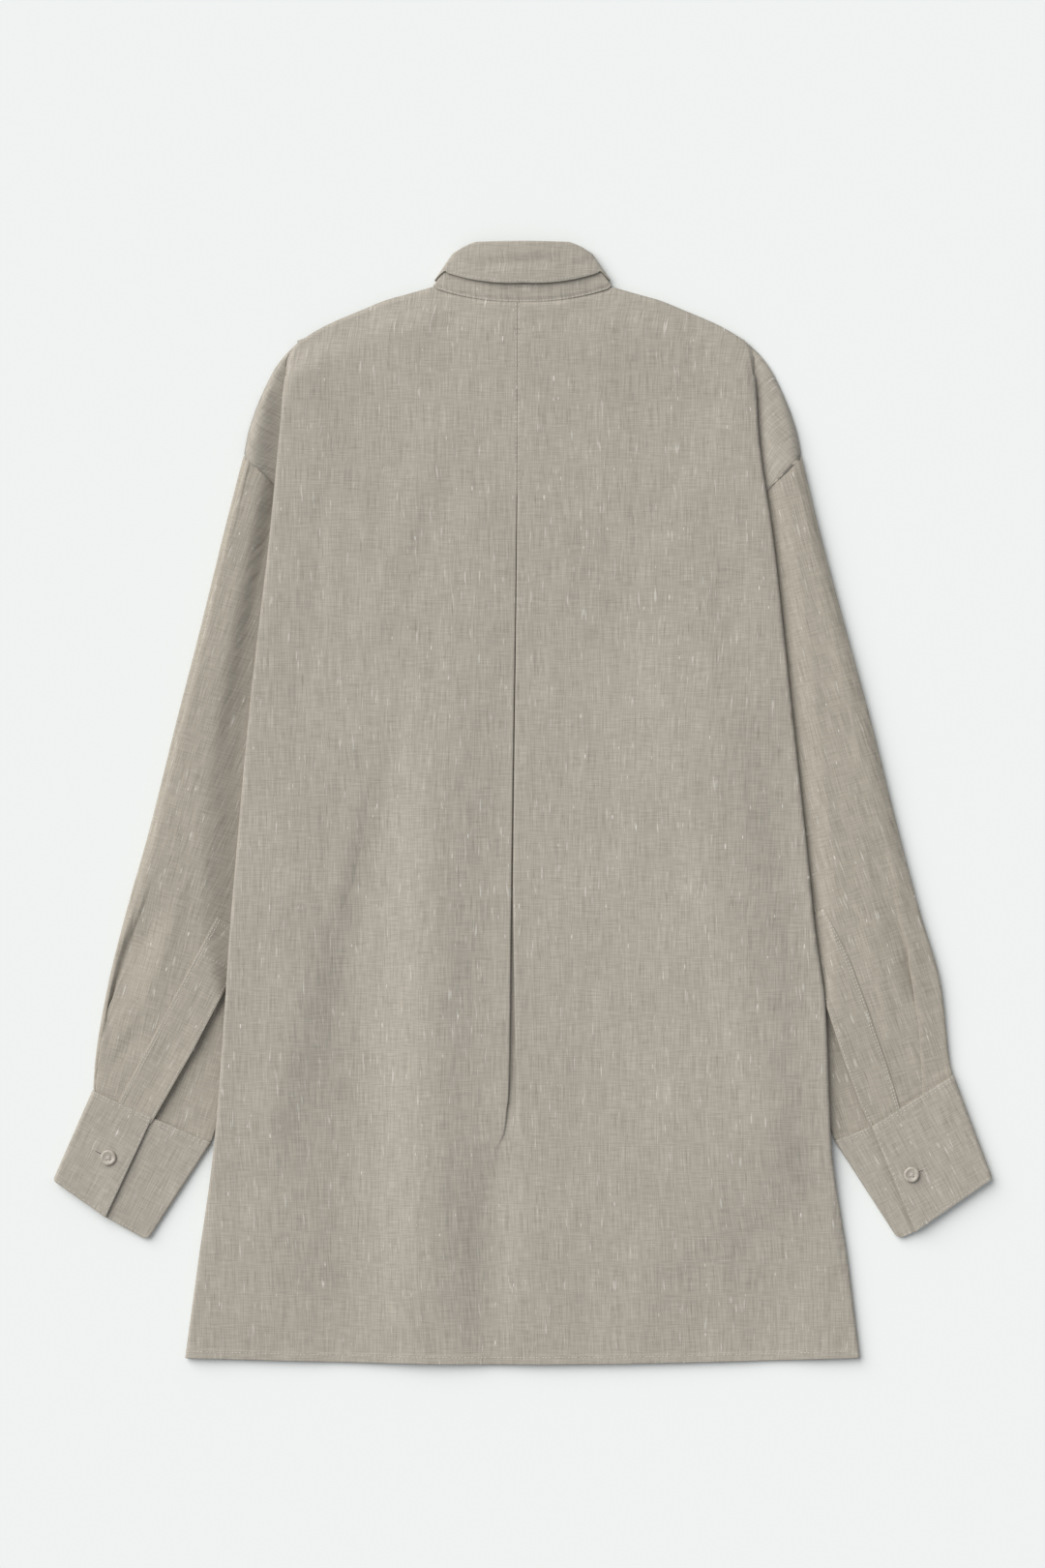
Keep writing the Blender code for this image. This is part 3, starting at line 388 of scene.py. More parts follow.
def back_z(x, y, side):
    inner = covered_x(side, y)
    high = smooth(abs(x), inner - RAMP, inner)
    sag = BACK_SAG_Z - HEM_SAG * fall(y, *HEM_SAG_RUN)
    z = mix(sag, BACK_TOP_Z + lift_z(y), high)
    beside = fall(abs(x), *PLEAT_SLOPE)
    z = max(z, mix(sag, centre_z["back"](y), beside))
    flatter = smooth(crest_x[side](min(y, TOP_ROW_Y)) - abs(x), CREST_LAND, FOLD_END_RUN)
    z += fold_z(BACK_FOLDS, x, y) * flatter + rumple(x, y, *BACK_RUMPLE)
    below = back_top_y(x) - y
    if abs(x) > NECK_HALF:
        return mix(SHOULDER_BACK_Z, z, smooth(below, 0.0, SEAM_SLOPE))
    neck = mix(BACK_NECK_Z, SHOULDER_BACK_Z + SEAM_GAP, (abs(x) / NECK_HALF) ** 2)
    under_stand = NECK_DIP * fall(below, *NECK_DIP_RUN)
    return mix(neck, z, smooth(below, 0.0, BACK_NECK_SLOPE)) - under_stand


def row_height(y, x, side, top_y):
    """The y of a point on a row, which bends to the hem below and to the shoulder above."""
    if y > SHOULDER_BLEND_Y:
        share = (y - SHOULDER_BLEND_Y) / (TOP_ROW_Y - SHOULDER_BLEND_Y)
        return mix(SHOULDER_BLEND_Y, top_y(x), share)
    if y < HEM_BEND_Y:
        return y + (hem_y(x, side) - HEM_Y) * fall(y, HEM_Y, HEM_BEND_Y)
    return y


def z_fold(edge, top, drop, angle, depth, radii, count):
    """A sheet that turns down by an angle and back, as (x, z) points."""
    a = math.radians(angle)
    r1, r2 = radii
    last = 2 * count + 1
    if angle < STEP_ANGLE:
        width = max(STEP_WIDTH * (1.0 - angle / STEP_ANGLE), drop / math.tan(a))
        if edge:
            width = min(width, STEP_LIMIT * abs(edge))
        return [(edge + width * (i / last - 0.5), top - drop * smooth(i, 0, last))
                for i in range(last + 1)]
    if angle >= 179.9:
        length = depth - r1 - r2
    else:
        length = (drop - (r1 + r2) * (1 - math.cos(a))) / math.sin(a)
        if angle >= 90:
            length = min(length, max(depth - r1 - r2, SHORT_RETURN))
    start = edge - r1 if angle >= 90 else edge - (r1 + r2 + length) * math.sin(a) / 2
    turn = [a * i / count for i in range(count + 1)]
    points = [(start + r1 * math.sin(b), top - r1 * (1 - math.cos(b))) for b in turn]
    x = points[-1][0] + length * math.cos(a)
    z = points[-1][1] - length * math.sin(a)
    return points + [(x + r2 * (math.sin(a) - math.sin(b)), z - r2 * (math.cos(b) - math.cos(a)))
                     for b in reversed(turn)]


CUFF_SLEEVE_Z = 4.75       # the sleeve's height where it goes into the cuff
CAP_EDGE_Z = 1.2
CAP_EDGE_RUN = (-1.0, 2.6)
CAP_BLEND = 5.0
SWELL_PAST_BAND = 5.0      # how far the plump part reaches in past the placket's free edge
SWELL_RISE_MOST = 0.5      # the most of its width that each slope takes
SWELL_FALL_MOST = 0.75
SWELL_RISE_EARLY = 0.9
SWELL_FALL_EARLY = 2.0
SLEEVE_RUMPLE = (26.0, 0.35)
BESIDE_CREST = 6.0         # beside the crest the sleeve is flat for the body to lie on
CUFF_SLANT = 0.88          # cosine of the slope of the cuff's seam
CUFF_SEAM_RUN = 14.0
PUFF_HEIGHT = 0.35         # a low ridge where the sleeve is gathered into the cuff
PUFF_PLACE = 4.0
PUFF_SPREAD = 2.4
SLEEVE_FOLDS = {           # drawn lines across each cap, and troughs that lead to the pleats
    "left": [Fold(212, 258, 203, 250, 2.4, -0.5), Fold(203, 305, 196, 320, 4, 0.5),
             Fold(240, 120, 262, 20, 10, 0.6), Fold(297, -178, 319, -206, 8, -1.2),
             Fold(262, -60, 284, -130, 11, 0.8), Fold(276, -172, 296, -206, 8, 0.6)],
    "right": [Fold(198, 316, 194, 312, 2.0, -0.9), Fold(190, 300, 200, 280, 5, 0.5),
              Fold(207, 253, 199, 247, 2.2, -0.7), Fold(206, 237, 202, 230, 2.0, -0.6),
              Fold(272, -35, 290, -110, 12, -1.6), Fold(240, 120, 262, 20, 10, 0.6),
              Fold(268, -100, 284, -180, 9, 0.9)],
}


def sleeve_height(side, x, y):
    """How far the plump sleeve and its cap stand over the flat cloth, x counted outward."""
    outer = sleeve_outer[side](y) if y < ARMHOLE_TOP_Y else shoulder_x(y)
    limit = crest_x[side](y)
    if y < PLACKET[0].y:
        limit = max(limit, placket_x[side + "_free"](y) - SWELL_PAST_BAND)
    rise = min(swell[side + "_rise"](y), SWELL_RISE_MOST * (outer - limit))
    slope = min(swell[side + "_fall"](y), SWELL_FALL_MOST * (outer - limit))
    outside = smooth(outer - x, -SWELL_RISE_EARLY * rise, rise)
    return swell[side](y) * outside * smooth(x - limit, -SWELL_FALL_EARLY, slope)


def above_cuff(side, x, y):
    """How far a place on the sleeve is from the cuff's seam."""
    outer, knee, inner = CUFF_TOP[side]
    one, two = (outer, knee) if x > knee.x else (knee, inner)
    share = (x - one.x) / (two.x - one.x)
    return CUFF_SLANT * (y - mix(one.y, two.y, share))


def sleeve_top_z(side, x, y):
    height = sleeve_height(side, x, y)
    uneven = fold_z(SLEEVE_FOLDS[side], x, y) + rumple(x, y, *SLEEVE_RUMPLE)
    z = SLEEVE_TOP_Z + height + uneven * smooth(x - crest_x[side](y), 0.0, BESIDE_CREST)
    if y > 0.0:
        return z
    away = above_cuff(side, x, y)
    puff = PUFF_HEIGHT * math.exp(-((away - PUFF_PLACE) / PUFF_SPREAD) ** 2)
    return mix(CUFF_SLEEVE_Z, z, smooth(away, 0.0, CUFF_SEAM_RUN)) + puff


def cap_top_z(side, x, y):
    """The same height, brought down to the front's cap along the shoulder."""
    top = sleeve_top_z(side, x, y)
    off = min(shoulder_x(max(y, ARMHOLE_TOP_Y)) - x, shoulder_y(x) - y)
    pressed = mix(CAP_EDGE_Z, top, smooth(off, *CAP_EDGE_RUN))
    return mix(top, pressed, smooth(y, ARMHOLE_TOP_Y - CAP_BLEND, ARMHOLE_TOP_Y + CAP_BLEND))


NEST_WIDER = 1.45
TURN_STEPS = 7             # points in half a fold, in a return and in the cap
RETURN_STEPS = 10
CAP_STEPS = 14


def tuck(side, y, top, mid, low, nest):
    """The body's fold over the sleeve: crest, return and inner fold, then the cap."""
    if y > TUCK_TOP_Y:
        nest *= tuck_top["nest"](y)
    crest = crest_x[side](y) - nest
    radius = (top - mid) / 2
    if y <= UNDERARM_Y:
        turn = [math.radians(mix(90, -90, i / TURN_STEPS)) for i in range(TURN_STEPS + 1)]
        points = [(crest - radius + radius * math.cos(a), y, top - radius + radius * math.sin(a))
                  for a in turn]
        run = steps(crest - radius, side_seam_x(side, y), RETURN_STEPS)[1:]
        return points + [(x, y, mid) for x in run] + [None] * (TURN_STEPS + CAP_STEPS)
    turn = (mid - low) / 2
    inner = inner_fold_x(side, y) - nest * NEST_WIDER
    angle = tuck_top["angle"](y) if y > TUCK_TOP_Y else 180
    high = mix(low + TUCK_TOP_RISE, top, tuck_top["share"](y)) if y > TUCK_TOP_Y else top
    depth = max(crest - inner, radius + turn + LEAST_RETURN)
    radii = (radius, turn) if angle >= 90 else (OPEN_RADIUS, OPEN_RADIUS)
    fold = z_fold(crest, high, high - low, angle, depth, radii, TURN_STEPS)
    down, up = fold[:TURN_STEPS + 1], fold[TURN_STEPS + 1:]
    run = [mix_points(down[-1], up[0], s) for s in steps(0, 1, RETURN_STEPS)[1:-1]]
    share = max(0.0, (y - SHOULDER_BLEND_Y) / (TOP_ROW_Y - SHOULDER_BLEND_Y))
    edge_y = mix(SHOULDER_BLEND_Y, CAP_TOP_Y, share) if share > 0.0 else y
    edge = (armhole_x(y) if y <= ARMHOLE_TOP_Y else shoulder_x(edge_y)) - SEAM_GAP / 2
    start = up[-1][0]
    edge = max(edge, start + LEAST_CAP)
    points = [(x, y, z) for x, z in down + run + up]
    for s in steps(0, 1, CAP_STEPS)[1:]:
        x = mix(start, edge, s)
        place_y = mix(y, edge_y, s)
        z = cap_top_z(side, x, place_y) if low == SLEEVE_TOP_Z else low
        points.append((x, place_y, z))
    if y >= TOP_ROW_Y:
        points = [(x, shoulder_y(x), z) for x, _, z in points]
    return points


def grain(lean):
    """The grain of a piece whose long threads lean toward +x by so many degrees."""
    turn = math.radians(lean)

    def threads(x, y, z, _):
        return x * math.cos(turn) - y * math.sin(turn) + z, x * math.sin(turn) + y * math.cos(turn)
    return threads


def made_of(shape, name):
    """A new object of this shape, with its faces turned outward."""
    bmesh.ops.recalc_face_normals(shape, faces=shape.faces)
    mesh = bpy.data.meshes.new(name)
    shape.to_mesh(mesh)
    shape.free()
    piece = bpy.data.objects.new(name, mesh)
    bpy.context.scene.collection.objects.link(piece)
    return piece


def cloth(name, rows, threads, thickness=CLOTH, ring=False, left_out=(), soft_edge=0.0):
    """A thin wall on a grid of rows of points; None is a place with no cloth.

    threads gives each point's place in the weave, which the UV map holds in metres."""
    shape = bmesh.new()
    uv = shape.loops.layers.uv.new("grain")
    made = [[shape.verts.new([c * MM for c in p]) if p else None for p in row] for row in rows]
    columns = len(rows[0])
    for i in range(len(rows) - 1):
        for j in range(columns if ring else columns - 1):
            k = (j + 1) % columns
            corners = [made[i][j], made[i][k], made[i + 1][k], made[i + 1][j]]
            if all(corners) and (i, j) not in left_out:
                face = shape.faces.new(corners)
                face.smooth = True
                places = [rows[i][j], rows[i][k], rows[i + 1][k], rows[i + 1][j]]
                for loop, place in zip(face.loops, places):
                    loop[uv].uv = [c * MM for c in threads(*place, j)]
    bmesh.ops.delete(shape, geom=[v for v in shape.verts if not v.link_faces], context="VERTS")
    piece = made_of(shape, name)
    wall = piece.modifiers.new("wall", "SOLIDIFY")
    wall.thickness = thickness * MM
    wall.offset = 0.0
    wall.use_even_offset = True
    bpy.ops.object.select_all(action="DESELECT")
    bpy.context.view_layer.objects.active = piece
    piece.select_set(True)
    bpy.ops.object.modifier_apply(modifier="wall")
    if soft_edge:
        edge = piece.modifiers.new("edge", "BEVEL")
        edge.width = soft_edge * MM
        edge.segments = 2
        edge.limit_method = "ANGLE"
        edge.angle_limit = math.radians(60)
        bpy.ops.object.modifier_apply(modifier="edge")
        bpy.ops.object.shade_smooth()
    return piece


def hem_rows():
    """The rows of the body, close together at the hem, the underarm and the shoulder."""
    near = [HEM_Y + step for step in (0, 0.8, 2, 3.5, 5, 5.8, 6.5, 7.2, 8, 10, 13)]
    low = steps(HEM_Y + 18, UNDERARM_Y - 2, 110)
    arm = [UNDERARM_Y + step for step in (0, 0.7, 1.8, 3.2, 5)]
    high = steps(UNDERARM_Y + 10, SHOULDER_BLEND_Y, 30)
    top = steps(SHOULDER_BLEND_Y, TOP_ROW_Y, 20)[1:]
    return near + low + arm + high + top


def hem_lift(y):
    """The turned hem stands a little proud, with a dent along its stitches."""
    up = y - HEM_Y
    dent = HEM_DENT * math.exp(-(up - HEM_STITCH) ** 2 / HEM_DENT_SPREAD)
    return HEM_RISE * fall(up, HEM_DEPTH, HEM_DEPTH + HEM_STEP) - dent


def back_half(y, side):
    sign = 1 if side == "right" else -1
    shift = pleat["x"](y)
    gap, turn = pleat[side + "_gap"](y), pleat[side + "_turn"](y)
    small = smooth(y, *SMALL_FOLD_RUN) if side == "left" else 0.0
    radii = (mix(pleat["radius"](y), min(LEFT_RADIUS, pleat["radius"](y)), small),
             mix(FOLD_RADIUS, LEFT_RADIUS, small))
    dip = pleat["left_dip"](y) if side == "left" else 0.0
    fold = z_fold(-gap, 0.0, pleat["drop"](y), turn, pleat["depth"](y), radii, TURN_STEPS)
    fold = [(-x, z) for x, z in fold][::-1]
    inside = [(fold[0][0] * s, fold[0][1]) for s in (0.0, 0.25, 0.5, 0.75)]
    closed = smooth(turn, *PLEAT_CLOSED)
    points = []
    for x, z in inside + fold:
        place = sign * x + shift
        row_y = row_height(y, place, side, back_top_y)
        parallel = back_z(sign * PLEAT_BESIDE + shift, row_y, side)
        level = mix(back_z(place, row_y, side), parallel, closed)
        points.append((place, row_y, level + z - dip))
    edge = fold[-1][0]
    crest = crest_x[side](y) - CREST_LAND
    xs = [edge + step for step in (1.2, 3.0, 6.0, 10.0, 15.0)]
    xs += steps(edge + 20.0, crest, 40)
    for x in xs:
        place = sign * x + shift * fall(x, *PLEAT_PULL)
        row_y = row_height(y, place, side, back_top_y)
        z = back_z(place, row_y, side) - dip * fall(x - edge, 0.0, DIP_WIDTH)
        points.append((place, row_y, z + hem_lift(y)))
    top = BACK_TOP_Z + lift_z(y)
    mid = BACK_RETURN_Z + lift_z(y)
    for place in tuck(side, y, top, mid, SLEEVE_TOP_Z, 0.0):
        points.append(place and (sign * place[0], place[1], place[2]))
    return points


rows = []
for y in hem_rows():
    left = back_half(y, "left")
    rows.append(left[:0:-1] + back_half(y, "right"))
CAP_LEAN = {"left": -45.0, "right": 45.0}


def back_grain(x, y, z, j):
    """The caps are turned twice by the folds, so that their threads run aslant."""
    if min(j, len(rows[0]) - 2 - j) >= CAP_STEPS:
        return grain(0.0)(x, y, z, j)
    return grain(CAP_LEAN["right" if x > 0 else "left"])(x, y, z, j)


back = cloth("back_panel", rows, back_grain)


# Linen: an uneven plain weave. The long threads run with the garment, thick and thin by turns,
# with pale and dark slubs. The cross threads are finer. All of it is one group of nodes.
YARN = 0.00062             # from one thread to the next, in metres
THREAD_ROUGHNESS = 0.6     # of the noise that makes the threads uneven
Threads = namedtuple("Threads", "across along detail start")
WARP = Threads(1150.0, 42.0, 2.0, 0.0)   # noise sizes, per metre, across and along the grain
WARP_WIDE = Threads(230.0, 9.0, 2.0, 11.0)
WEFT = Threads(70.0, 1150.0, 2.0, 23.0)
CLOUD = Threads(16.0, 10.0, 3.0, 31.0)
SLUB = Threads(620.0, 62.0, 1.0, 41.0)
DARK_SLUB = Threads(700.0, 48.0, 1.0, 53.0)
FLECK = Threads(560.0, 130.0, 0.0, 67.0)


def new_group(name, sockets):
    """A group of nodes with these inputs and outputs, and its two end nodes."""
    group = bpy.data.node_groups.new(name, "ShaderNodeTree")
    for way, kind, names in sockets:
        for socket in names.split():
            group.interface.new_socket(socket, in_out=way, socket_type="NodeSocket" + kind)
    return group, group.nodes.new("NodeGroupInput"), group.nodes.new("NodeGroupOutput")


def mixed(group, share, first, second):
    """The mix of two colours, all of the second one where the share is 1."""
    node = group.nodes.new("ShaderNodeMix")
    node.data_type = "RGBA"
    for place, value in ((0, share), (6, first), (7, second)):
        group.links.new(value, node.inputs[place])
    return node.outputs[2]


def linen_group():
    group, entry, leave = new_group("linen_cloth", (
        ("INPUT", "Vector", "Grain"), ("INPUT", "Color", "Cloth Pale Dark"),
        ("OUTPUT", "Color", "Color"), ("OUTPUT", "Float", "Roughness Height")))
    nodes, links = group.nodes, group.links

    def math_node(operation, one, two=None, three=None):
        node = nodes.new("ShaderNodeMath")
        node.operation = operation
        for socket, value in zip(node.inputs, (one, two, three)):
            if isinstance(value, (int, float)):
                socket.default_value = value
            elif value is not None:
                links.new(value, socket)
        return node.outputs[0]

    def threads(kind):
        place = nodes.new("ShaderNodeMapping")
        place.inputs["Scale"].default_value = (kind.across, kind.along, 1.0)
        place.inputs["Location"].default_value = (kind.start, kind.start * 0.7, kind.start * 1.3)
        links.new(entry.outputs["Grain"], place.inputs["Vector"])
        cloud = nodes.new("ShaderNodeTexNoise")
        cloud.inputs["Scale"].default_value = 1.0
        cloud.inputs["Detail"].default_value = kind.detail
        cloud.inputs["Roughness"].default_value = THREAD_ROUGHNESS
        links.new(place.outputs["Vector"], cloud.inputs["Vector"])
        return cloud.outputs["Fac"]

    def part_above(value, low, high):
        node = nodes.new("ShaderNodeMapRange")
        node.interpolation_type = "SMOOTHSTEP"
        node.inputs["From Min"].default_value = low
        node.inputs["From Max"].default_value = high
        links.new(value, node.inputs["Value"])
        return node.outputs["Result"]

    def shade(colour, amount):
        node = nodes.new("ShaderNodeHueSaturation")
        links.new(colour, node.inputs["Color"])
        links.new(amount, node.inputs["Value"])
        return node.outputs["Color"]

    warp, wide, weft, cloud = (threads(kind) for kind in (WARP, WARP_WIDE, WEFT, CLOUD))
    slub = part_above(threads(SLUB), 0.66, 0.78)
    dark_slub = part_above(threads(DARK_SLUB), 0.65, 0.76)
    fleck = part_above(threads(FLECK), 0.83, 0.88)

    split = nodes.new("ShaderNodeSeparateXYZ")
    links.new(entry.outputs["Grain"], split.inputs[0])
    turns = 2.0 * math.pi / YARN
    over = math_node("SINE", math_node("MULTIPLY", split.outputs["X"], turns))
    under = math_node("SINE", math_node("MULTIPLY", split.outputs["Y"], turns))
    weave = math_node("MULTIPLY", over, under)

    tone = 1.0
    for noise_value, share in ((warp, 0.82), (wide, 0.20), (weft, 0.62), (cloud, 0.14)):
        tone = math_node("MULTIPLY_ADD", math_node("SUBTRACT", noise_value, 0.5), share, tone)
    tone = math_node("MULTIPLY_ADD", weave, 0.02, tone)
    colour = shade(entry.outputs["Cloth"], tone)
    for mask, name, strength in ((dark_slub, "Dark", 0.5), (slub, "Pale", 0.5),
                                 (fleck, "Pale", 0.9)):
        share = math_node("MULTIPLY", mask, strength)
        colour = mixed(group, share, colour, entry.outputs[name])
    links.new(colour, leave.inputs["Color"])

    links.new(math_node("MULTIPLY_ADD", warp, 0.12, 0.80), leave.inputs["Roughness"])
    height = 0.5
    for relief, share in ((weave, 0.07), (warp, 0.9), (weft, 0.8), (slub, 0.5)):
        height = math_node("MULTIPLY_ADD", relief, share, height)
    links.new(height, leave.inputs["Height"])
    return group


LINEN_GROUP = linen_group()
LINEN_COLOUR = (0.370, 0.338, 0.290, 1.0)
# The sleeves and plackets take a darker, slightly yellower copy of the body's linen: painted shade
# for the shading of the sleeves.
SLEEVE_SHADED_COLOUR = (0.360, 0.325, 0.273, 1.0)
LINEN_PALE = (0.66, 0.63, 0.58, 1.0)
LINEN_DARK = (0.225, 0.192, 0.158, 1.0)
THREAD_RELIEF = 0.00011


def linen(name, colour=LINEN_COLOUR):
    """Linen for one piece, on its own grain."""
    made = bpy.data.materials.new(name)
    made.use_nodes = True
    nodes, links = made.node_tree.nodes, made.node_tree.links
    shader = nodes["Principled BSDF"]
    shader.inputs["Specular IOR Level"].default_value = 0.22
    shader.inputs["Sheen Weight"].default_value = 0.12
    shader.inputs["Sheen Roughness"].default_value = 0.5
    uv_map = nodes.new("ShaderNodeUVMap")
    uv_map.uv_map = "grain"
    group = nodes.new("ShaderNodeGroup")
    group.node_tree = LINEN_GROUP
    group.inputs["Cloth"].default_value = colour
    group.inputs["Pale"].default_value = LINEN_PALE
    group.inputs["Dark"].default_value = LINEN_DARK
    bump = nodes.new("ShaderNodeBump")
    bump.inputs["Strength"].default_value = 1.0
    bump.inputs["Distance"].default_value = THREAD_RELIEF
    links.new(uv_map.outputs["UV"], group.inputs["Grain"])
    links.new(group.outputs["Color"], shader.inputs["Base Color"])
    links.new(group.outputs["Roughness"], shader.inputs["Roughness"])
    links.new(group.outputs["Height"], bump.inputs["Height"])
    links.new(bump.outputs["Normal"], shader.inputs["Normal"])
    return made


# Sewing: each stitch is a small bead of thread, half sunk in the cloth that it is laid on.
THREAD_COLOUR = (0.62, 0.585, 0.53, 1.0)
THREAD_SHADE = (0.496, 0.468, 0.424, 1.0)
STITCH = 2.1
STITCH_GAP = 0.55
STITCH_HALF_WIDTH = 0.27
STITCH_OUTLINE = ((1, 0), (0, 1.2), (-1, 0), (0, -1))
STITCH_FULL = (0.22, 0.78)  # it is thick between these shares of its length
STITCH_SINK = 0.6          # its tips dip into the cloth by this share of its half width
LONGEST_STITCH = 1.5       # one that a fold would stretch past this share is left out
NEEDLE_HEIGHT = 0.05       # in metres, from where the cloth is looked for


def speckle_group():
    """Two near shades that change from place to place, as in thread and in shell."""
    group, entry, leave = new_group("speckle", (
        ("INPUT", "Vector", "Place"), ("INPUT", "Float", "Scale Detail Low High"),
        ("INPUT", "Color", "Dark Pale"), ("OUTPUT", "Color", "Color")))
    cloud = group.nodes.new("ShaderNodeTexNoise")
    share = group.nodes.new("ShaderNodeMapRange")
    for name, socket in (("Place", cloud.inputs["Vector"]), ("Scale", cloud.inputs["Scale"]),
                         ("Detail", cloud.inputs["Detail"]), ("Low", share.inputs["From Min"]),
                         ("High", share.inputs["From Max"])):
        group.links.new(entry.outputs[name], socket)
    group.links.new(cloud.outputs["Fac"], share.inputs["Value"])
    colour = mixed(group, share.outputs["Result"], entry.outputs["Dark"], entry.outputs["Pale"])
    group.links.new(colour, leave.inputs["Color"])
    return group


SPECKLE_GROUP = speckle_group()


def speckled(name, dark, pale, scale, surface, detail=2.0, between=(0.0, 1.0)):
    """A material of those two shades. surface holds the shader's own values."""
    made = bpy.data.materials.new(name)
    made.use_nodes = True
    nodes, links = made.node_tree.nodes, made.node_tree.links
    group = nodes.new("ShaderNodeGroup")
    group.node_tree = SPECKLE_GROUP
    for socket, value in zip(group.inputs[1:], (scale, detail, *between, dark, pale)):
        socket.default_value = value
    place = nodes.new("ShaderNodeTexCoord")
    shader = nodes["Principled BSDF"]
    for socket, value in surface.items():
        shader.inputs[socket].default_value = value
    links.new(place.outputs["Object"], group.inputs["Place"])
    links.new(group.outputs["Color"], shader.inputs["Base Color"])
    return made


thread_material = speckled("sewing_thread", THREAD_SHADE, THREAD_COLOUR, scale=900.0,
                           surface={"Roughness": 0.6, "Sheen Weight": 0.2})


def bridge(shape, one, two):
    """A band of faces between two rings of points."""
    for k in range(len(one)):
        n = (k + 1) % len(one)
        shape.faces.new((one[k], one[n], two[n], two[k]))


def sew(name, cloths, lines, above=True, pitch=(STITCH, STITCH_GAP), thread=None):
    """Rows of stitches along lines of (x, y) points, laid on top of the cloths or under them."""
    shape = bmesh.new()
    length, gap = pitch
    up = 1.0 if above else -1.0

    def surface(x, y):
        found = None
        for piece in cloths:
            start = Vector((x * MM, y * MM, up * NEEDLE_HEIGHT))
            hit, place, normal, _ = piece.ray_cast(start, Vector((0.0, 0.0, -up)))
            if hit and (found is None or place.z * up > found[0].z * up):
                found = (place, normal)
        return found

    for line in lines:
        ahead = gap
        for one, two in zip(line, line[1:]):
            span = math.dist(one, two)
            while ahead + length < span:
                ends = [surface(*mix_points(one, two, place / span))
                        for place in (ahead, ahead + length)]
                ahead += length + gap
                if not all(ends):
                    continue
                (start, normal), (stop, _) = ends
                run = stop - start
                if run.length > LONGEST_STITCH * length * MM:
                    continue
                side = run.cross(normal).normalized() * STITCH_HALF_WIDTH * MM
                rise = normal * STITCH_HALF_WIDTH * MM
                rings = []
                for share in STITCH_FULL:
                    middle = start + run * share
                    rings.append([shape.verts.new(middle + side * a + rise * b)
                                  for a, b in STITCH_OUTLINE])
                bridge(shape, *rings)
                for end, ring in ((start, rings[0]), (stop, rings[1])):
                    tip = shape.verts.new(end - rise * STITCH_SINK)
                    for k in range(4):
                        shape.faces.new((tip, ring[k], ring[(k + 1) % 4]))
            ahead = max(ahead - span, 0.0)
    for face in shape.faces:
        face.smooth = True
    piece = made_of(shape, name)
    piece.data.materials.append(thread or thread_material)
    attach(piece, "root")


SEAM_LINES = (-1.1, 1.1)   # on both sides of the seam down the middle
back.data.materials.append(linen("back_linen"))
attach(back, "root")
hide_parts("back")
hem_xs = steps(-260.0, 260.0, 104)
hem_line = [(x, hem_y(x, "left" if x < 0 else "right") + HEM_STITCH) for x in hem_xs]
seam_ys = steps(386.0, 240.0, 40)
seam_lines = [[(pleat["x"](y) + shift, y) for y in seam_ys] for shift in SEAM_LINES]
sew("back_stitching", [back], [hem_line] + seam_lines)


# ---- Fronts ----
# Two panels on the table under the back. The right one laps over the left at the buttons,
# and both follow the back's folds from the inside.
FRONT_NECK_Y = 320.0
FRONT_OVERLAP = 15.0
NEST = 1.4
FRONT_RETURN_Z = 5.6
FRONT_TOP_Z = 7.4
FLOOR_Z = 0.5
NECK_FRONT_Z = 2.3
SHOULDER_FRONT_Z = 2.3
BAND_SLOPE = (17.0, 44.0)
FRONT_NECK_SLOPE = 25.0
COLLAR_REST = (235.0, 262.0)
COLLAR_REST_X = (80.0, 110.0)
BAND_RISE = 0.25
BAND_EDGE = (13.0, 14.6)   # where the step at the band's edge ends and starts
BAND_STEP = (-0.4, 0.6)
BAND_LINES = (13.6, -13.2)
NECK_FLAT_HALF = 10.0
NECK_ROUND = 2.4


def front_neck_y(x):
    share = min(1.0, max(0.0, (abs(x) - NECK_FLAT_HALF) / (NECK_HALF - NECK_FLAT_HALF)))
    return mix(FRONT_NECK_Y, back_neck_y(NECK_HALF), share ** NECK_ROUND)


def front_top_y(x):
    return front_neck_y(x) if abs(x) < NECK_HALF else shoulder_y(abs(x))


def front_z(x, y, side):
    inner = covered_x(side, y)
    high = smooth(abs(x), inner - RAMP, inner)
    on_collar = smooth(y, *COLLAR_REST) * fall(abs(x), *COLLAR_REST_X)
    low = mix(FLOOR_Z, NECK_FRONT_Z, on_collar)
    z = mix(low, FRONT_TOP_Z + lift_z(y), high)
    band = centre_z[side](y)
    z = max(z, mix(low, band, fall(abs(x), *BAND_SLOPE)))
    if abs(x) > NECK_HALF:
        return mix(SHOULDER_FRONT_Z, z, smooth(front_top_y(x) - y, 0.0, SEAM_SLOPE))
    if abs(x) > FRONT_OVERLAP:
        return mix(NECK_FRONT_Z, z, smooth(front_neck_y(x) - y, 0.0, FRONT_NECK_SLOPE))
    return z


def front_row(y, side):
    sign = 1 if side == "right" else -1
    xs = steps(-FRONT_OVERLAP, FRONT_OVERLAP, 8)
    xs += steps(FRONT_OVERLAP, crest_x[side](y) - CREST_LAND, 40)[1:]
    points = []
    for x in xs:
        row_y = row_height(y, x, side, front_top_y)
        step = BAND_RISE * fall(x, FRONT_OVERLAP + BAND_STEP[0], FRONT_OVERLAP + BAND_STEP[1])
        step *= fall(-x, *BAND_EDGE)
        points.append((sign * x, row_y, front_z(x, row_y, side) + step))
    top = FRONT_TOP_Z + lift_z(y)
    mid = FRONT_RETURN_Z + lift_z(y)
    for place in tuck(side, y, top, mid, SLEEVE_UNDER_Z, NEST):
        points.append(place and (sign * place[0], place[1], place[2]))
    return points


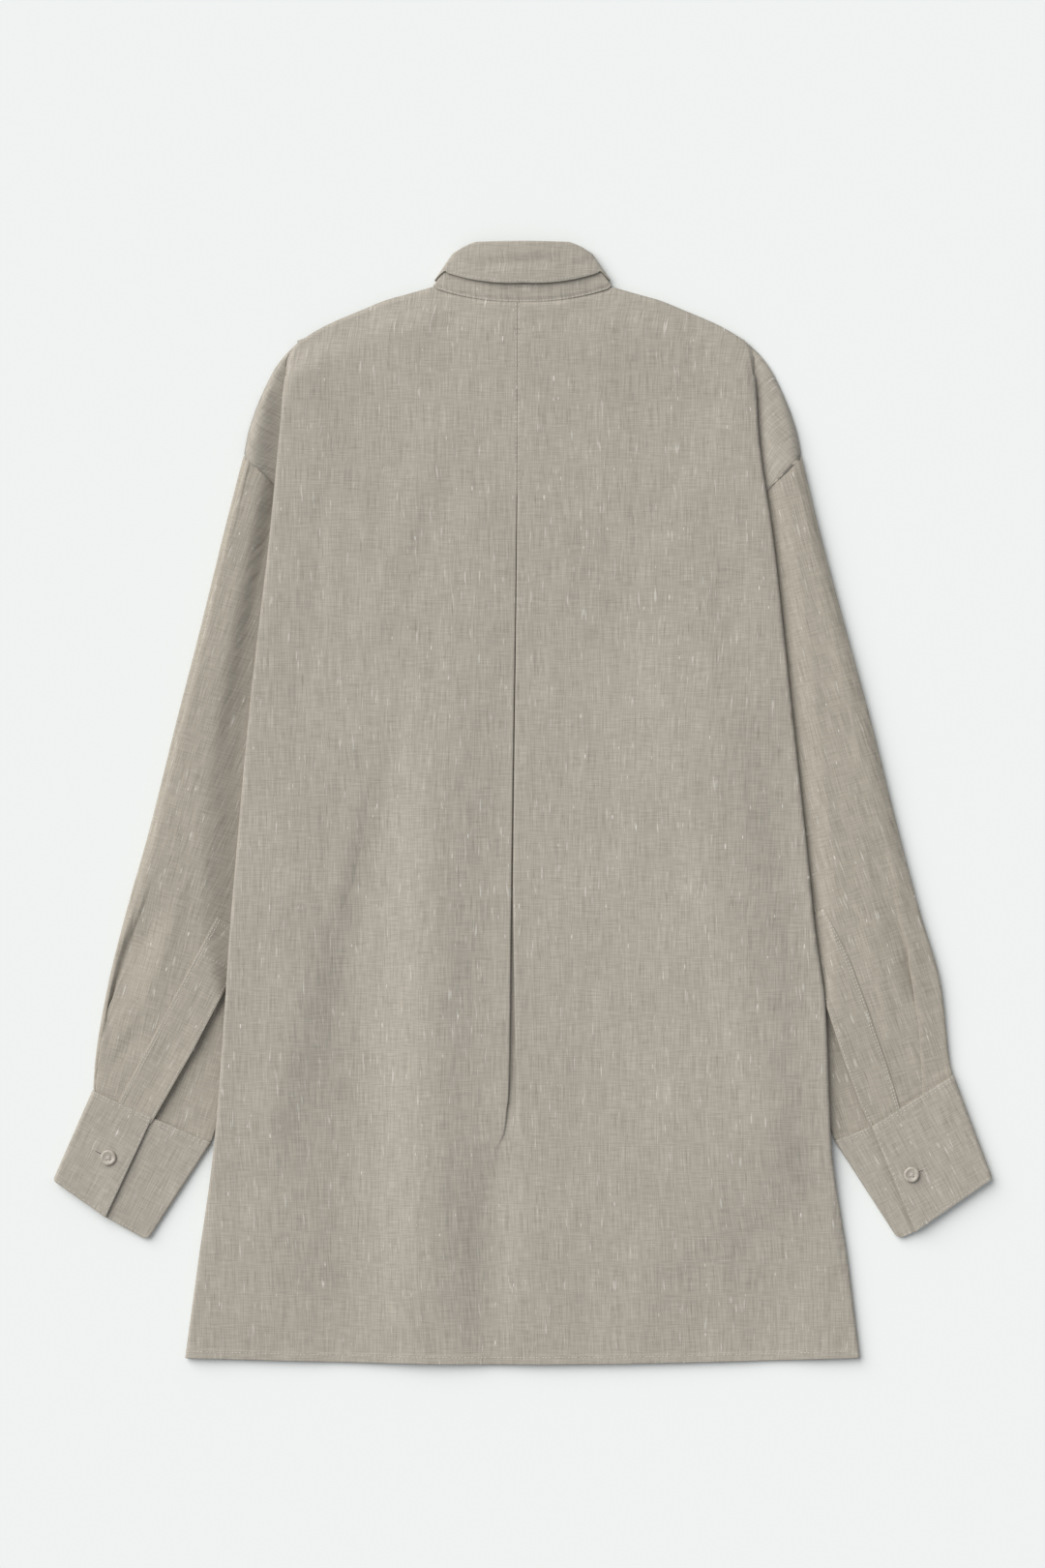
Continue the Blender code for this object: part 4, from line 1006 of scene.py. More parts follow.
for side in ("left", "right"):
    rows = [front_row(y, side) for y in hem_rows()]
    front = cloth("front_panel_" + side, rows, grain(0.0))
    front.data.materials.append(linen("front_linen_" + side))
    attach(front, "root")
    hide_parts("front_" + side)
    sign = 1 if side == "right" else -1
    lines = [[(sign * x, hem_y(x, side) + HEM_STITCH) for x in steps(-14.0, 255.0, 54)]]
    for x in BAND_LINES:
        lines.append([(sign * x, y) for y in steps(front_neck_y(x) - 1.0, HEM_Y + 2.0, 80)])
    sew("front_stitching_" + side, [front], lines, above=False)


# ---- Sleeves ----
# Each is one panel sewn into a tube and lying flat, slit near the cuff on the side of the
# little finger, with a small pleat that takes its width into the cuff.
Crease = namedtuple("Crease", "y left right")
CREASE_LINE = [            # edge of the small pleat above each cuff
    Crease(267.0, 206.0, 205.0), Crease(66.8, 250.0, 250.0), Crease(-23.0, 270.0, 272.0),
    Crease(-72.0, 285.5, 287.2), Crease(-106.5, 299.5, 295.5), Crease(-144.8, 315.0, 302.2),
    Crease(-165.8, 322.6, 305.4), Crease(-177.8, 325.2, 306.8), Crease(-219.0, 329.7, 309.4),
    Crease(-252.0, 331.5, 311.0),
]
crease_x = curves(CREASE_LINE, "y")
CUFF_DOWN = {              # directions down the cuff's outer and inner folds
    "left": ((0.41, -0.91), (0.55, -0.84)), "right": ((0.35, -0.94), (0.54, -0.84)),
}
Opening = namedtuple("Opening", "t left right left_drop right_drop valley")
SLEEVE_PLEAT = [           # how far the pleat has turned over, its height, and the dip beside it
    Opening(0.0, 8, 8, 0.05, 0.05, 0.0), Opening(0.64, 8, 8, 0.05, 0.1, 0.0),
    Opening(0.70, 8, 20, 0.1, 1.2, 2.2), Opening(0.77, 12, 75, 0.9, 3.8, 4.8),
    Opening(0.81, 24, 110, 1.7, 4.6, 4.8), Opening(0.85, 70, 150, 2.2, 4.6, 3.8),
    Opening(0.885, 180, 180, 2.3, 3.6, 2.2), Opening(0.94, 180, 180, 2.3, 2.8, 0.8),
    Opening(1.0, 180, 180, 2.3, 2.3, 0.0),
]
pleat_turn = curves(SLEEVE_PLEAT, "t")
SLEEVE_PLEAT_DEPTH = {"left": 6.0, "right": 10.0}
SLEEVE_PLEAT_RADIUS = 0.57
PLEAT_TURN_STEPS = 5
PLEAT_MADE = (0.62, 0.78)  # shares of the sleeve's length over which the pleat forms
PLEAT_NEAREST = 1.6        # least distance of the pleat's edge from the sleeve's outer edge
PLEAT_ROOM = 3.2
PLEAT_STRIP_Z = 2.3        # the strip outside the left sleeve's pleat, and its rise outward
STRIP_RISE = 3.2
STRIP_RISE_RUN = (0.88, 0.97)
VALLEY_WIDTH = {"left": 22.0, "right": 15.0}
KNEE_FORMS = (0.85, 1.0)   # the rings take up the bend of the cuff's seam
SLIT_INSET = 3.5           # how far the band laps over the slit
SLIT_T = 0.69
SLIT_HALF = 0.35
SLIT_HIDDEN = 4.0          # above the slit its line runs hidden, so far inside the crest
SLIT_COMES_OUT = (-118.0, -60.0)
UNDERLAP_RUMPLE = (18.0, 0.35)
CUFF_MOUTH_RUN = 8.0       # the sleeve takes the cuff's heights over this run
CUFF_MOUTH = (0.996, 1.0)
CUFF_INSIDE = (2.0, 5.0)   # how far the sleeve's last rings go into the cuff
CUFF_INSET = 1.1
UNDERLAP_SLEEVE_Z = 2.37
UNDER_SLEEVE_Z = 1.78
EDGE_IN = 1.5              # where the height beside the outer edge is taken
EDGE_STEPS = 6
SLEEVE_STEPS = 104
SEAM_LAPS = (1.5, 0.2)     # at the armhole the sleeve's edge goes under the cap's
SEAM_SLANT = 0.7
SEAM_STEP = 0.46
SEAM_MIDDLE_Z = 1.4
SEAM_HALF_Z = 0.9
HALVINGS = 26


def slit_line(side, y):
    inside = crest_x[side](y) - SLIT_HIDDEN
    return mix(inside, placket_x[side + "_free"](y) + SLIT_INSET, fall(y, *SLIT_COMES_OUT))


def sleeve_floor_z(side, x, y):
    """The sleeve's lower layer."""
    away = above_cuff(side, x, y)
    return mix(UNDER_SLEEVE_Z, SLEEVE_UNDER_Z, smooth(away, 0.0, CUFF_MOUTH_RUN))


def underlap_top_z(side, x, y):
    """The flat part of the upper layer, on the inner side of the slit."""
    beyond = smooth(x - crest_x[side](y), 0.0, BESIDE_CREST)
    z = SLEEVE_TOP_Z + rumple(x, y, *UNDERLAP_RUMPLE) * beyond
    return mix(UNDERLAP_SLEEVE_Z, z, smooth(above_cuff(side, x, y), 0.0, CUFF_MOUTH_RUN))


def across_ring(side, t, past):
    """A function that gives the place so far across one ring of the tube, and its width."""
    cuff = CUFF_TOP[side]
    outer_y = mix(SLEEVE_OUTER[0].y, cuff.outer.y, t)
    outer = (sleeve_outer[side](outer_y), outer_y)
    inner = mix_points((UNDERARM_X, UNDERARM_Y), cuff.inner, t)
    width = math.dist(outer, inner)
    ends = [math.dist(cuff.knee, end) for end in (cuff.outer, cuff.inner)]
    knee = ends[0] / sum(ends)
    bend = [a - b for a, b in zip(cuff.knee, mix_points(cuff.outer, cuff.inner, knee))]

    def place(across):
        s = across / width
        bent = smooth(t, *KNEE_FORMS) * min(s / knee, (1.0 - s) / (1.0 - knee))
        x, y = mix_points(outer, inner, s)
        down = mix_points(*CUFF_DOWN[side], s)
        return x + bend[0] * bent + down[0] * past, y + bend[1] * bent + down[1] * past
    return place, width


def crossing(line, place, width):
    """How far across the ring it meets a line, which gives x for each y."""
    low, high = 0.0, width
    for _ in range(HALVINGS):
        middle = (low + high) / 2
        x, y = place(middle)
        low, high = (middle, high) if x > line(y) else (low, middle)
    return low


def sleeve_pleat(side, t, top, edge):
    """The small pleat's fold in one ring, as (across, z) points."""
    angle, drop = pleat_turn[side](t), pleat_turn[side + "_drop"](t)
    radii = (SLEEVE_PLEAT_RADIUS, SLEEVE_PLEAT_RADIUS)
    depth = SLEEVE_PLEAT_DEPTH[side]
    if side == "left":                        # the inner part lies on top of the outer strip
        strip = max(top - drop - pleat_turn["valley"](t), PLEAT_STRIP_Z * smooth(t, *PLEAT_MADE))
        fold = z_fold(0.0, strip + drop, drop, angle, depth, radii, PLEAT_TURN_STEPS)
        return [(edge - x, z) for x, z in reversed(fold)]
    depth = min(depth, edge - PLEAT_ROOM)     # the outer strip lies on top
    return z_fold(edge, top, drop, angle, depth, radii, PLEAT_TURN_STEPS)


def round_edge(across, radius, floor, first, last, count):
    """The round edge of a flat tube between two angles, as (across, z) points."""
    turns = [math.radians(angle) for angle in steps(first, last, count)]
    return [(across + radius * math.cos(a), floor + radius + radius * math.sin(a)) for a in turns]


def sleeve_ring(side, t, past=0.0):
    """Points round one ring of the flattened tube, and the place of the slit among them."""
    place, width = across_ring(side, t, past)

    def top_z(across):
        return sleeve_top_z(side, *place(across))

    inset = CUFF_INSET * smooth(t, *CUFF_MOUTH)
    made = smooth(t, *PLEAT_MADE)
    slit = crossing(lambda y: slit_line(side, y), place, width)
    edge = max(crossing(crease_x[side], place, width), PLEAT_NEAREST + inset)
    fold = sleeve_pleat(side, t, top_z(edge), edge)
    low = top_z(EDGE_IN + inset)
    if side == "left":
        rise = STRIP_RISE * fall(t, *STRIP_RISE_RUN)
        low = mix(low, min(low, fold[0][1] + rise), made)
    floor = sleeve_floor_z(side, *place(inset))
    radius = (low - floor) / 2
    first = inset + radius

    ring = round_edge(first, radius, floor, 270, 90, EDGE_STEPS)
    for s in (0.1, 0.22, 0.36, 0.52, 0.68, 0.84):
        across = mix(first, fold[0][0], s)
        turned = mix(low, fold[0][1], smooth(s, 0.0, 1.0))
        ring.append((across, mix(top_z(max(across, EDGE_IN)), turned, made)))
    ring += fold
    start, start_z = fold[-1]
    for across in steps(start, slit - SLIT_HALF, 24)[1:]:
        z = top_z(across)
        if side == "left":
            z = mix(start_z, z, smooth(across - start, 0.0, VALLEY_WIDTH[side]))
        else:
            near = max(0.0, 1.0 - (across - start) / VALLEY_WIDTH[side])
            z -= (top_z(start) - start_z) * near ** 2
        ring.append((across, z))
    slit_at = len(ring) - 1

    beyond = underlap_top_z if t >= SLIT_T else sleeve_top_z
    floor = sleeve_floor_z(side, *place(width))
    radius = (underlap_top_z(side, *place(width)) - floor) / 2
    last = width - radius - inset
    ring += [(across, beyond(side, *place(across)))
             for across in steps(slit + SLIT_HALF, last, 16)[:-1]]
    ring += round_edge(last, radius, floor, 90, -90, EDGE_STEPS)
    ring += [(across, sleeve_floor_z(side, *place(across)))
             for across in steps(last, first, 16)[1:-1]]
    sign = 1 if side == "right" else -1
    points = [(*place(across), z) for across, z in ring]
    return [(sign * x, y, z) for x, y, z in points], slit_at


SLEEVE_LEAN = 17.0
PLACKET_CLOTH = 0.8
PLACKET_RISE = 0.78
PLACKET_LIFT = 1.5         # its free edge lifts off the swell, lower down
PLACKET_LIFT_ACROSS = (0.55, 1.0)
PLACKET_LIFT_DOWN = (0.35, 0.6)
PLACKET_LIFT_END = (0.88, 1.0)
PLACKET_PRESSED_ACROSS = (0.0, 0.1)
PLACKET_LINES = (0.04, 0.10, 0.95)
PLACKET_BARS = (0.012, 0.19)
PLACKET_LEAN = {"left": 28.5, "right": 20.0}
PLACKET_STEPS = 48
PLACKET_PRESSED = {"left": 0.22, "right": 0.42}
PLACKET_ENDS = {"left": ((-88.5, -103.5), (-234.2, -248.6)),
                "right": ((-81.8, -95.0), (-238.6, -251.2))}
for side in ("left", "right"):
    sign = 1 if side == "right" else -1
    shares = steps(0.0, 0.97, SLEEVE_STEPS) + steps(0.97, 1.0, 14)[1:]
    rings = [sleeve_ring(side, t) for t in shares]
    slit_at = rings[0][1]
    rows = [ring[0] for ring in rings]
    armhole = []
    for lap in SEAM_LAPS:
        seam = []
        for x, y, z in rows[0]:
            pressed = SEAM_STEP * min(1.0, max(-1.0, (z - SEAM_MIDDLE_Z) / SEAM_HALF_Z))
            seam.append((x - sign * SEAM_SLANT * lap, y + SEAM_SLANT * lap, z - pressed))
        armhole.append(seam)
    slit = [(i + 1, slit_at) for i, t in enumerate(shares) if t >= SLIT_T]
    rows = armhole + rows[1:] + [sleeve_ring(side, 1.0, past)[0] for past in CUFF_INSIDE]
    sleeve = cloth("sleeve_panel_" + side, rows, grain(-sign * SLEEVE_LEAN), ring=True,
                   left_out=slit)
    sleeve.data.materials.append(linen("sleeve_linen_" + side, SLEEVE_SHADED_COLOUR))
    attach(sleeve, "root")
    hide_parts("sleeve_" + side)

    # The placket is a folded strip, stitched over the slit's outer edge.
    (outer_top, free_top), (outer_low, free_low) = PLACKET_ENDS[side]
    band_rows = []
    for share in steps(0.0, 1.0, PLACKET_STEPS):
        row = []
        for across in (0.0, 0.04, 0.1, 0.25, 0.4, 0.55, 0.7, 0.82, 0.9, 0.96, 1.0):
            outer_y, free_y = mix(outer_top, outer_low, share), mix(free_top, free_low, share)
            outer_x = placket_x[side + "_outer"](outer_y)
            free_x = placket_x[side + "_free"](free_y)
            x, y = mix(outer_x, free_x, across), mix(outer_y, free_y, across)
            lift = PLACKET_LIFT * smooth(across, *PLACKET_LIFT_ACROSS)
            lift *= smooth(share, *PLACKET_LIFT_DOWN) * fall(share, *PLACKET_LIFT_END)
            pressed = PLACKET_PRESSED[side] * fall(across, *PLACKET_PRESSED_ACROSS)
            row.append((sign * x, y, sleeve_top_z(side, x, y) + PLACKET_RISE + lift - pressed))
        band_rows.append(row)
    placket = cloth("placket_band_" + side, band_rows, grain(-sign * PLACKET_LEAN[side]),
                    thickness=PLACKET_CLOTH, soft_edge=0.22)
    placket.data.materials.append(linen("placket_linen_" + side, SLEEVE_SHADED_COLOUR))
    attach(placket, "root")
    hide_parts("placket_" + side)
    lines = []
    for at in PLACKET_LINES:
        lines.append([mix_points(row[0][:2], row[-1][:2], at) for row in band_rows[::6]])
    for at in PLACKET_BARS:
        row = band_rows[round(at * PLACKET_STEPS)]
        lines.append([mix_points(row[0][:2], row[-1][:2], a) for a in (0.06, 0.94)])
    sew("placket_stitching_" + side, [placket], lines)


# ---- Cuffs ----
# A cuff is two layers and an interlining, folded round the end of the sleeve. The end with the
# buttonhole laps over the other one.
CUFF_BOTTOM = {            # outer fold, edge of the overlap, inner fold
    "left": Edge(Corner(362.9, -292.6), Corner(322.5, -321.0), Corner(290.8, -338.8)),
    "right": Edge(Corner(363.4, -291.2), Corner(303.8, -332.0), Corner(291.2, -337.6)),
}
CUFF_UNDER_Z = 0.8
CUFF_UNDERLAP_Z = 3.35
CUFF_OVERLAP_Z = 5.85
CUFF_HIDDEN_LAP = 18.0     # how far the under end goes on inside the overlap
CUFF_CLOTH = 1.3
CUFF_INNER_ROUND = 5.0     # radii of the corners at the two folds
CUFF_OUTER_ROUND = 2.2
CUFF_EDGE_STEPS = 8
CUFF_EDGE_LIFT = {"left": 0.8, "right": 0.2}   # the overlap's edge stands off a little
CUFF_EDGE_RUN = 16.0
CUFF_EDGE_DOWN = (0.0, 0.3)
CUFF_LAP_RISE = {"left": 0.8, "right": 1.2}    # the end under it swells out beside that edge
CUFF_GROOVE = {"left": 0.0, "right": 1.8}      # and is pressed in along it
CUFF_GROOVE_RUN = 9.0
CUFF_FINE = 8.0            # near its folds the cuff has more points
CUFF_SMOOTH_TOP = (0.0, 0.12)  # at the sleeve seam the folds fade out
CUFF_RUMPLE = (22.0, 0.22)
CUFF_LINES = (0.018, 0.042, 0.978)  # stitches, as shares from the sleeve seam down
CUFF_EDGE_LINE = 0.978
CUFF_LEAN = 28.0
CUFF_FOLDS = {
    "left": [Fold(345, -262, 330, -286, 9, -0.35), Fold(306, -262, 322, -300, 8, 0.3),
             Fold(340, -235, 352, -262, 7, 0.3)],
    "right": [Fold(322, -240, 340, -286, 11, 0.35), Fold(300, -262, 318, -300, 9, -0.3),
              Fold(345, -235, 352, -270, 7, -0.25)],
}
BUTTONHOLE_END = {"left": Corner(332.2, -268.5), "right": Corner(311.8, -283.6)}
BUTTONHOLE_PITCH = 0.62    # from one stitch to the next
BUTTONHOLE_STITCH = (0.7, 0.02)
BUTTONHOLE_SIDE = (0.2, 0.95)  # how far off the slit its stitches start and end
BUTTONHOLE_BAR = (-0.9, 0.9)  # the stitch across its outer end
SLIT_END_GAP = 0.2
# Two dark colours for the bead laid along each buttonhole's slit: painted shade for the shadow
# inside the cut.
SLIT_DEEP_SHADE = (0.06, 0.05, 0.04, 1.0)
SLIT_SHADE = (0.12, 0.10, 0.08, 1.0)

slit_shade_material = speckled("buttonhole_shade", SLIT_DEEP_SHADE, SLIT_SHADE, scale=700.0,
                         surface={"Roughness": 0.95})


def cuff_row(side, down):
    tops, bottoms = CUFF_TOP[side], CUFF_BOTTOM[side]
    height = math.dist(tops.knee, bottoms.knee)
    edge = math.dist(tops.outer, tops.knee)
    width = edge + math.dist(tops.knee, tops.inner)
    big = (CUFF_OVERLAP_Z - CUFF_UNDER_Z) / 2
    small = (CUFF_UNDERLAP_Z - CUFF_UNDER_Z) / 2
    near, far = CUFF_FINE, width - CUFF_FINE
    ring = [(x, CUFF_OVERLAP_Z) for x in steps(edge, near, 22) + steps(near, big, 5)[1:-1]]
    ring += round_edge(big, big, CUFF_UNDER_Z, 90, 270, CUFF_EDGE_STEPS)
    for first, last, count in ((big, near, 4), (near, far, 20), (far, width - small, 7)):
        ring += [(x, CUFF_UNDER_Z) for x in steps(first, last, count)[1:]]
    ring.pop()
    ring += round_edge(width - small, small, CUFF_UNDER_Z, -90, 90, CUFF_EDGE_STEPS)
    for first, last, count in ((width - small, far, 7), (far, edge - CUFF_HIDDEN_LAP, 14)):
        ring += [(x, CUFF_UNDERLAP_Z) for x in steps(first, last, count)[1:]]
    sign = 1 if side == "right" else -1
    points = []
    for across, z in ring:
        short = 0.0
        for size, off in ((CUFF_OUTER_ROUND, across), (CUFF_INNER_ROUND, width - across)):
            if off < size:
                inside = size - max(0.0, off)
                short += size - math.sqrt(max(0.0, size ** 2 - inside ** 2))
        at = down * (1.0 - short / height)
        outer, knee, inner = (mix_points(a, b, at) for a, b in zip(tops, bottoms))
        if across <= edge:
            x, y = mix_points(outer, knee, across / edge)
        else:
            x, y = mix_points(knee, inner, (across - edge) / (width - edge))
        if z == CUFF_OVERLAP_Z:
            lift = smooth(across, edge - CUFF_EDGE_RUN, edge) * smooth(down, *CUFF_EDGE_DOWN)
            z += CUFF_EDGE_LIFT[side] * lift
        if z == CUFF_UNDERLAP_Z:
            groove = max(0.0, 1.0 - abs(across - edge) / CUFF_GROOVE_RUN) ** 2
            z += CUFF_LAP_RISE[side] * fall(across, edge, far) - CUFF_GROOVE[side] * groove
        if z > CUFF_UNDER_Z + 0.5:            # all but the layer that lies on the table
            uneven = fold_z(CUFF_FOLDS[side], x, y) + rumple(x, y, *CUFF_RUMPLE)
            z += uneven * smooth(down, *CUFF_SMOOTH_TOP)
        points.append((sign * x, y, z))
    return points


for side in ("left", "right"):
    sign = 1 if side == "right" else -1
    downs = steps(0.0, 0.9, 26) + steps(0.9, 1.0, 8)[1:]
    rows = [cuff_row(side, down) for down in downs]
    cuff = cloth("cuff_band_" + side, rows, grain(-sign * CUFF_LEAN), thickness=CUFF_CLOTH,
                 soft_edge=0.6)
    cuff.data.materials.append(linen("cuff_linen_" + side))
    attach(cuff, "root")
    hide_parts("cuff_" + side)

    # Two rows of stitches at the sleeve seam, and one round the other edges.
    top, low = ([(sign * x, y) for x, y in line] for line in (CUFF_TOP[side], CUFF_BOTTOM[side]))

    def cuff_place(part, across, down):
        """A place on the overlap (part 0) or on the end under it (1), in shares of its size."""
        return mix_points(mix_points(top[part], top[part + 1], across),
                          mix_points(low[part], low[part + 1], across), down)

    lines = [[cuff_place(0, a, d) for a in steps(0.03, 0.975, 20)] for d in CUFF_LINES]
    lines.append([cuff_place(0, CUFF_EDGE_LINE, d) for d in steps(0.02, 0.98, 20)])
    lines += [[cuff_place(1, a, d) for a in steps(0.05, 0.96, 12)] for d in CUFF_LINES]
    sew("cuff_stitching_" + side, [cuff], lines)

    # The buttonhole: a dark bead of painted shade laid as the slit from the button outward, with
    # close stitches along both sides.
    button_low, button_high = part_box("cuff_button_" + side)
    hole_start = [(button_low[k] + button_high[k]) / 2 / MM for k in (0, 1)]
    hole_end = (sign * BUTTONHOLE_END[side].x, BUTTONHOLE_END[side].y)
    length = math.dist(hole_start, hole_end)
    off = ((hole_end[1] - hole_start[1]) / length, (hole_start[0] - hole_end[0]) / length)
    sew("buttonhole_shade_bead_" + side, [cuff], [[hole_start, hole_end]],
        pitch=(length - 2 * SLIT_END_GAP, SLIT_END_GAP), thread=slit_shade_material)

    def across_slit(place, first, last):
        """A line square to the slit, between two distances off it."""
        return [(place[0] + off[0] * a, place[1] + off[1] * a) for a in (first, last)]

    near, far = BUTTONHOLE_SIDE
    bars = []
    for step in steps(0.0, length, round(length / BUTTONHOLE_PITCH)):
        middle = mix_points(hole_start, hole_end, step / length)
        bars += [across_slit(middle, -far, -near), across_slit(middle, near, far)]
    bars.append(across_slit(hole_end, *BUTTONHOLE_BAR))
    sew("buttonhole_stitching_" + side, [cuff], bars, pitch=BUTTONHOLE_STITCH)


# ---- Collar ----
# The stand is a band sewn round the neck. The leaf is sewn to its top, rolls over and falls
# back down over it. Flattened, the ring lies on its own front half and on its two points.
SIDE_BOTTOM = (69.5, 401.2)  # the side of the flattened ring, from the neck seam to the roll
SIDE_TOP = (47.5, 433.5)
SIDE_INSET = 3.0
SIDE_STEPS = 12
SIDE_LEVEL = 6.0           # the roll is so much lower right at the side
SIDE_ROLL_DROP = 5.0       # at the side the roll has dropped so much behind
CORNER_START = 0.73        # the share of the half width where that drop starts
STAND_HEIGHT = 34.0
STAND_BELOW_ROLL = 3.0
LEAF_START = (0.4, 0.8)    # how far above the stand the leaf starts, behind and more in front
LEAF_START_RUN = (0.4, 0.6)
LEAF_FRONT_BEND = 0.8
STAND_LAP = 1.9            # the rise of its left front end over the right one
LAP_COLUMNS = 6
NECK_LAP = 1.5             # how far the stand reaches over the back at the neck seam
NECK_LAP_RISE = (-0.6, 0.82)
NECK_LAP_RUN = (0.4, 3.2)
FRONT_END_X = -9.0         # columns of the ring: the front ones start past the middle
FRONT_SIDE_X = 66.0
BACK_SIDE_X = 65.5
BACK_CLOSE_X = 50.0        # outward from here they stand closer
ROLL_Y = 432.0
FRONT_ROLL_HEIGHT = 43.0
LEAF_EDGE = (3.0, 13.5)    # height of the leaf's edge over the neck seam, in front and behind
LEAF_CORNER = (62.0, 402.0)
LEAF_POINT = (35.0, 292.0)
LEAF_END_X = 2.5
LEAF_LINE_UP = 1.7         # from the leaf's edge to its stitches
COLLAR_RUMPLE = (20.0, 0.25)
COLLAR_CLOTH = 1.0
Ring = namedtuple("Ring", "mid stand leaf")
FLAT_RING = Ring(3.65, 1.35, 3.05)
BACK_RING = Ring(5.25, 2.75, 5.6)
STAND_FLAT = (0.40, 0.035)
LEAF_FLAT = (0.40, 0.075)
STAND_AREA = 0.0125
LEAF_AREA = 0.0131
COLLAR_FOLDS = [Fold(-34, 415.5, 24, 418.0, 7, -0.9), Fold(-30, 424, 26, 426, 5, 0.25),
                Fold(30, 414, 52, 416, 6, -0.35)]


def collar_columns():
    """From the right front end round to the middle of the back, one dict for each column."""
    side_x, side_y = SIDE_BOTTOM
    length = math.dist(SIDE_BOTTOM, SIDE_TOP)
    side_up = ((SIDE_TOP[0] - side_x) / length, (SIDE_TOP[1] - side_y) / length)
    normal = (side_up[1], -side_up[0])
    side_base = (side_x - SIDE_INSET * normal[0], side_y - SIDE_INSET * normal[1])
    side_roll = (ROLL_Y - SIDE_ROLL_DROP - side_base[1]) / side_up[1]
    columns = []
    for x in steps(FRONT_END_X, 0.0, 2)[:-1] + steps(0.0, FRONT_SIDE_X, 14)[:-1]:
        share = 1.0 - max(0.0, x) / side_x
        columns.append(dict(base=(x - 0.3, front_neck_y(x) + 0.6),
                            up=mix_points(side_up, (0.0, 1.0), share), out=(0, 0, -1),
                            ring=FLAT_RING, front=share, edge=LEAF_EDGE[0],
                            roll=mix(side_roll, FRONT_ROLL_HEIGHT, share)))
    for i in range(SIDE_STEPS + 1):
        angle = math.radians(180 - 180 * i / SIDE_STEPS)
        out = (normal[0] * math.sin(angle), normal[1] * math.sin(angle), math.cos(angle))
        behind = smooth(i, SIDE_STEPS / 2, SIDE_STEPS)
        level = SIDE_LEVEL * math.sin(angle)
        columns.append(dict(base=side_base, up=side_up, out=out, ring=FLAT_RING, front=0.0,
                            roll=side_roll - level, edge=mix(*LEAF_EDGE, behind)))
    for x in steps(BACK_SIDE_X, BACK_CLOSE_X, 10) + steps(BACK_CLOSE_X, 0.0, 14)[1:]:
        share = x / side_x
        up = mix_points((0.0, 1.0), side_up, share)
        base_y = back_neck_y(x) + SEAM_GAP
        ring = Ring(*mix_points(BACK_RING, FLAT_RING, share ** 2))
        roll_y = ROLL_Y - SIDE_ROLL_DROP * smooth(share, CORNER_START, 1.0) ** 2
        columns.append(dict(base=(x, base_y), up=up, out=(0, 0, 1), front=0.0, ring=ring,
                            roll=(roll_y - base_y) / up[1], edge=LEAF_EDGE[1]))
    return columns


def mirrored(column):
    other = dict(column)
    for key in ("base", "up", "out"):
        other[key] = (-column[key][0],) + tuple(column[key][1:])
    return other


def collar_point(column, height, radius):
    bx, by = column["base"]
    ux, uy = column["up"]
    ox, oy, oz = column["out"]
    return (bx + ux * height + ox * radius, by + uy * height + oy * radius,
            column["ring"].mid + oz * radius)


def leaf_column(column):
    """Up from the stand's top, over the roll and down to the leaf's edge."""
    ring = column["ring"]
    turn = (ring.leaf - ring.stand) / 2
    centre = (ring.leaf + ring.stand) / 2
    stand_top = min(STAND_HEIGHT, column["roll"] - STAND_BELOW_ROLL)
    behind, more = LEAF_START
    start = stand_top + behind + more * smooth(column["front"], *LEAF_START_RUN)
    points = [collar_point(column, start, ring.stand)]
    for angle in steps(-90, 90, 10):
        a = math.radians(angle)
        height = column["roll"] + turn * math.cos(a)
        points.append(collar_point(column, height, centre + turn * math.sin(a)))
    bx, by = column["base"]
    ux, uy = column["up"]
    top = (bx + ux * column["roll"], by + uy * column["roll"])
    sign = 1 if bx >= 0 else -1
    low = (bx + ux * column["edge"], by + uy * column["edge"])
    if column["front"] > 0.0:
        corner, point = ((sign * x, y) for x, y in (LEAF_CORNER, LEAF_POINT))
        low = mix_points(corner, point, column["front"] ** LEAF_FRONT_BEND)
    ox, oy, oz = column["out"]
    for share in steps(0.0, 1.0, 18)[1:]:
        x, y = mix_points(top, low, share)
        out = ring.leaf
        if oz > 0.9:                          # only where it faces up
            uneven = rumple(x, y, *COLLAR_RUMPLE) * smooth(share, 0.0, 0.2)
            out += fold_z(COLLAR_FOLDS, x, y) + uneven
        points.append((x + ox * out, y + oy * out, ring.mid + oz * out))
    return points


half = collar_columns()
columns = half + [mirrored(column) for column in reversed(half[:-1])]
rows = []
for height in steps(SEAM_GAP - NECK_LAP, 4.0, 8) + steps(4.0, STAND_HEIGHT, 12)[1:]:
    row = []
    for c in columns:
        lap = mix(*NECK_LAP_RISE, (1.0 - c["out"][2]) / 2) * fall(height, *NECK_LAP_RUN)
        shorter = min(1.0, (c["roll"] - STAND_BELOW_ROLL) / STAND_HEIGHT)
        row.append(collar_point(c, height * shorter, c["ring"].stand + lap))
    for i in range(1, LAP_COLUMNS):           # the left end laps over the right one
        x, y, z = row[-i]
        row[-i] = (x, y, z + STAND_LAP * fall(i, LAP_COLUMNS - 2.5, LAP_COLUMNS - 0.5))
    rows.append(row)
stand = cloth("collar_stand_band", rows, grain(0.0), thickness=COLLAR_CLOTH, soft_edge=0.25)
leaf_rows = []
for i, column in enumerate(columns[2:-2]):
    column = dict(column)
    if i == 0 or i == len(columns) - 5:
        column["base"] = (math.copysign(LEAF_END_X, 1 if i == 0 else -1), column["base"][1])
    leaf_rows.append(leaf_column(column))
leaf = cloth("collar_leaf_cloth", leaf_rows, grain(0.0), thickness=COLLAR_CLOTH, soft_edge=0.25)
neck_line = [(x, back_neck_y(x)) for x in steps(-64.0, 64.0, 10)]
edge_line = [(x, back_neck_y(x) + LEAF_EDGE[1] + LEAF_LINE_UP) for x in steps(-54.0, 54.0, 9)]
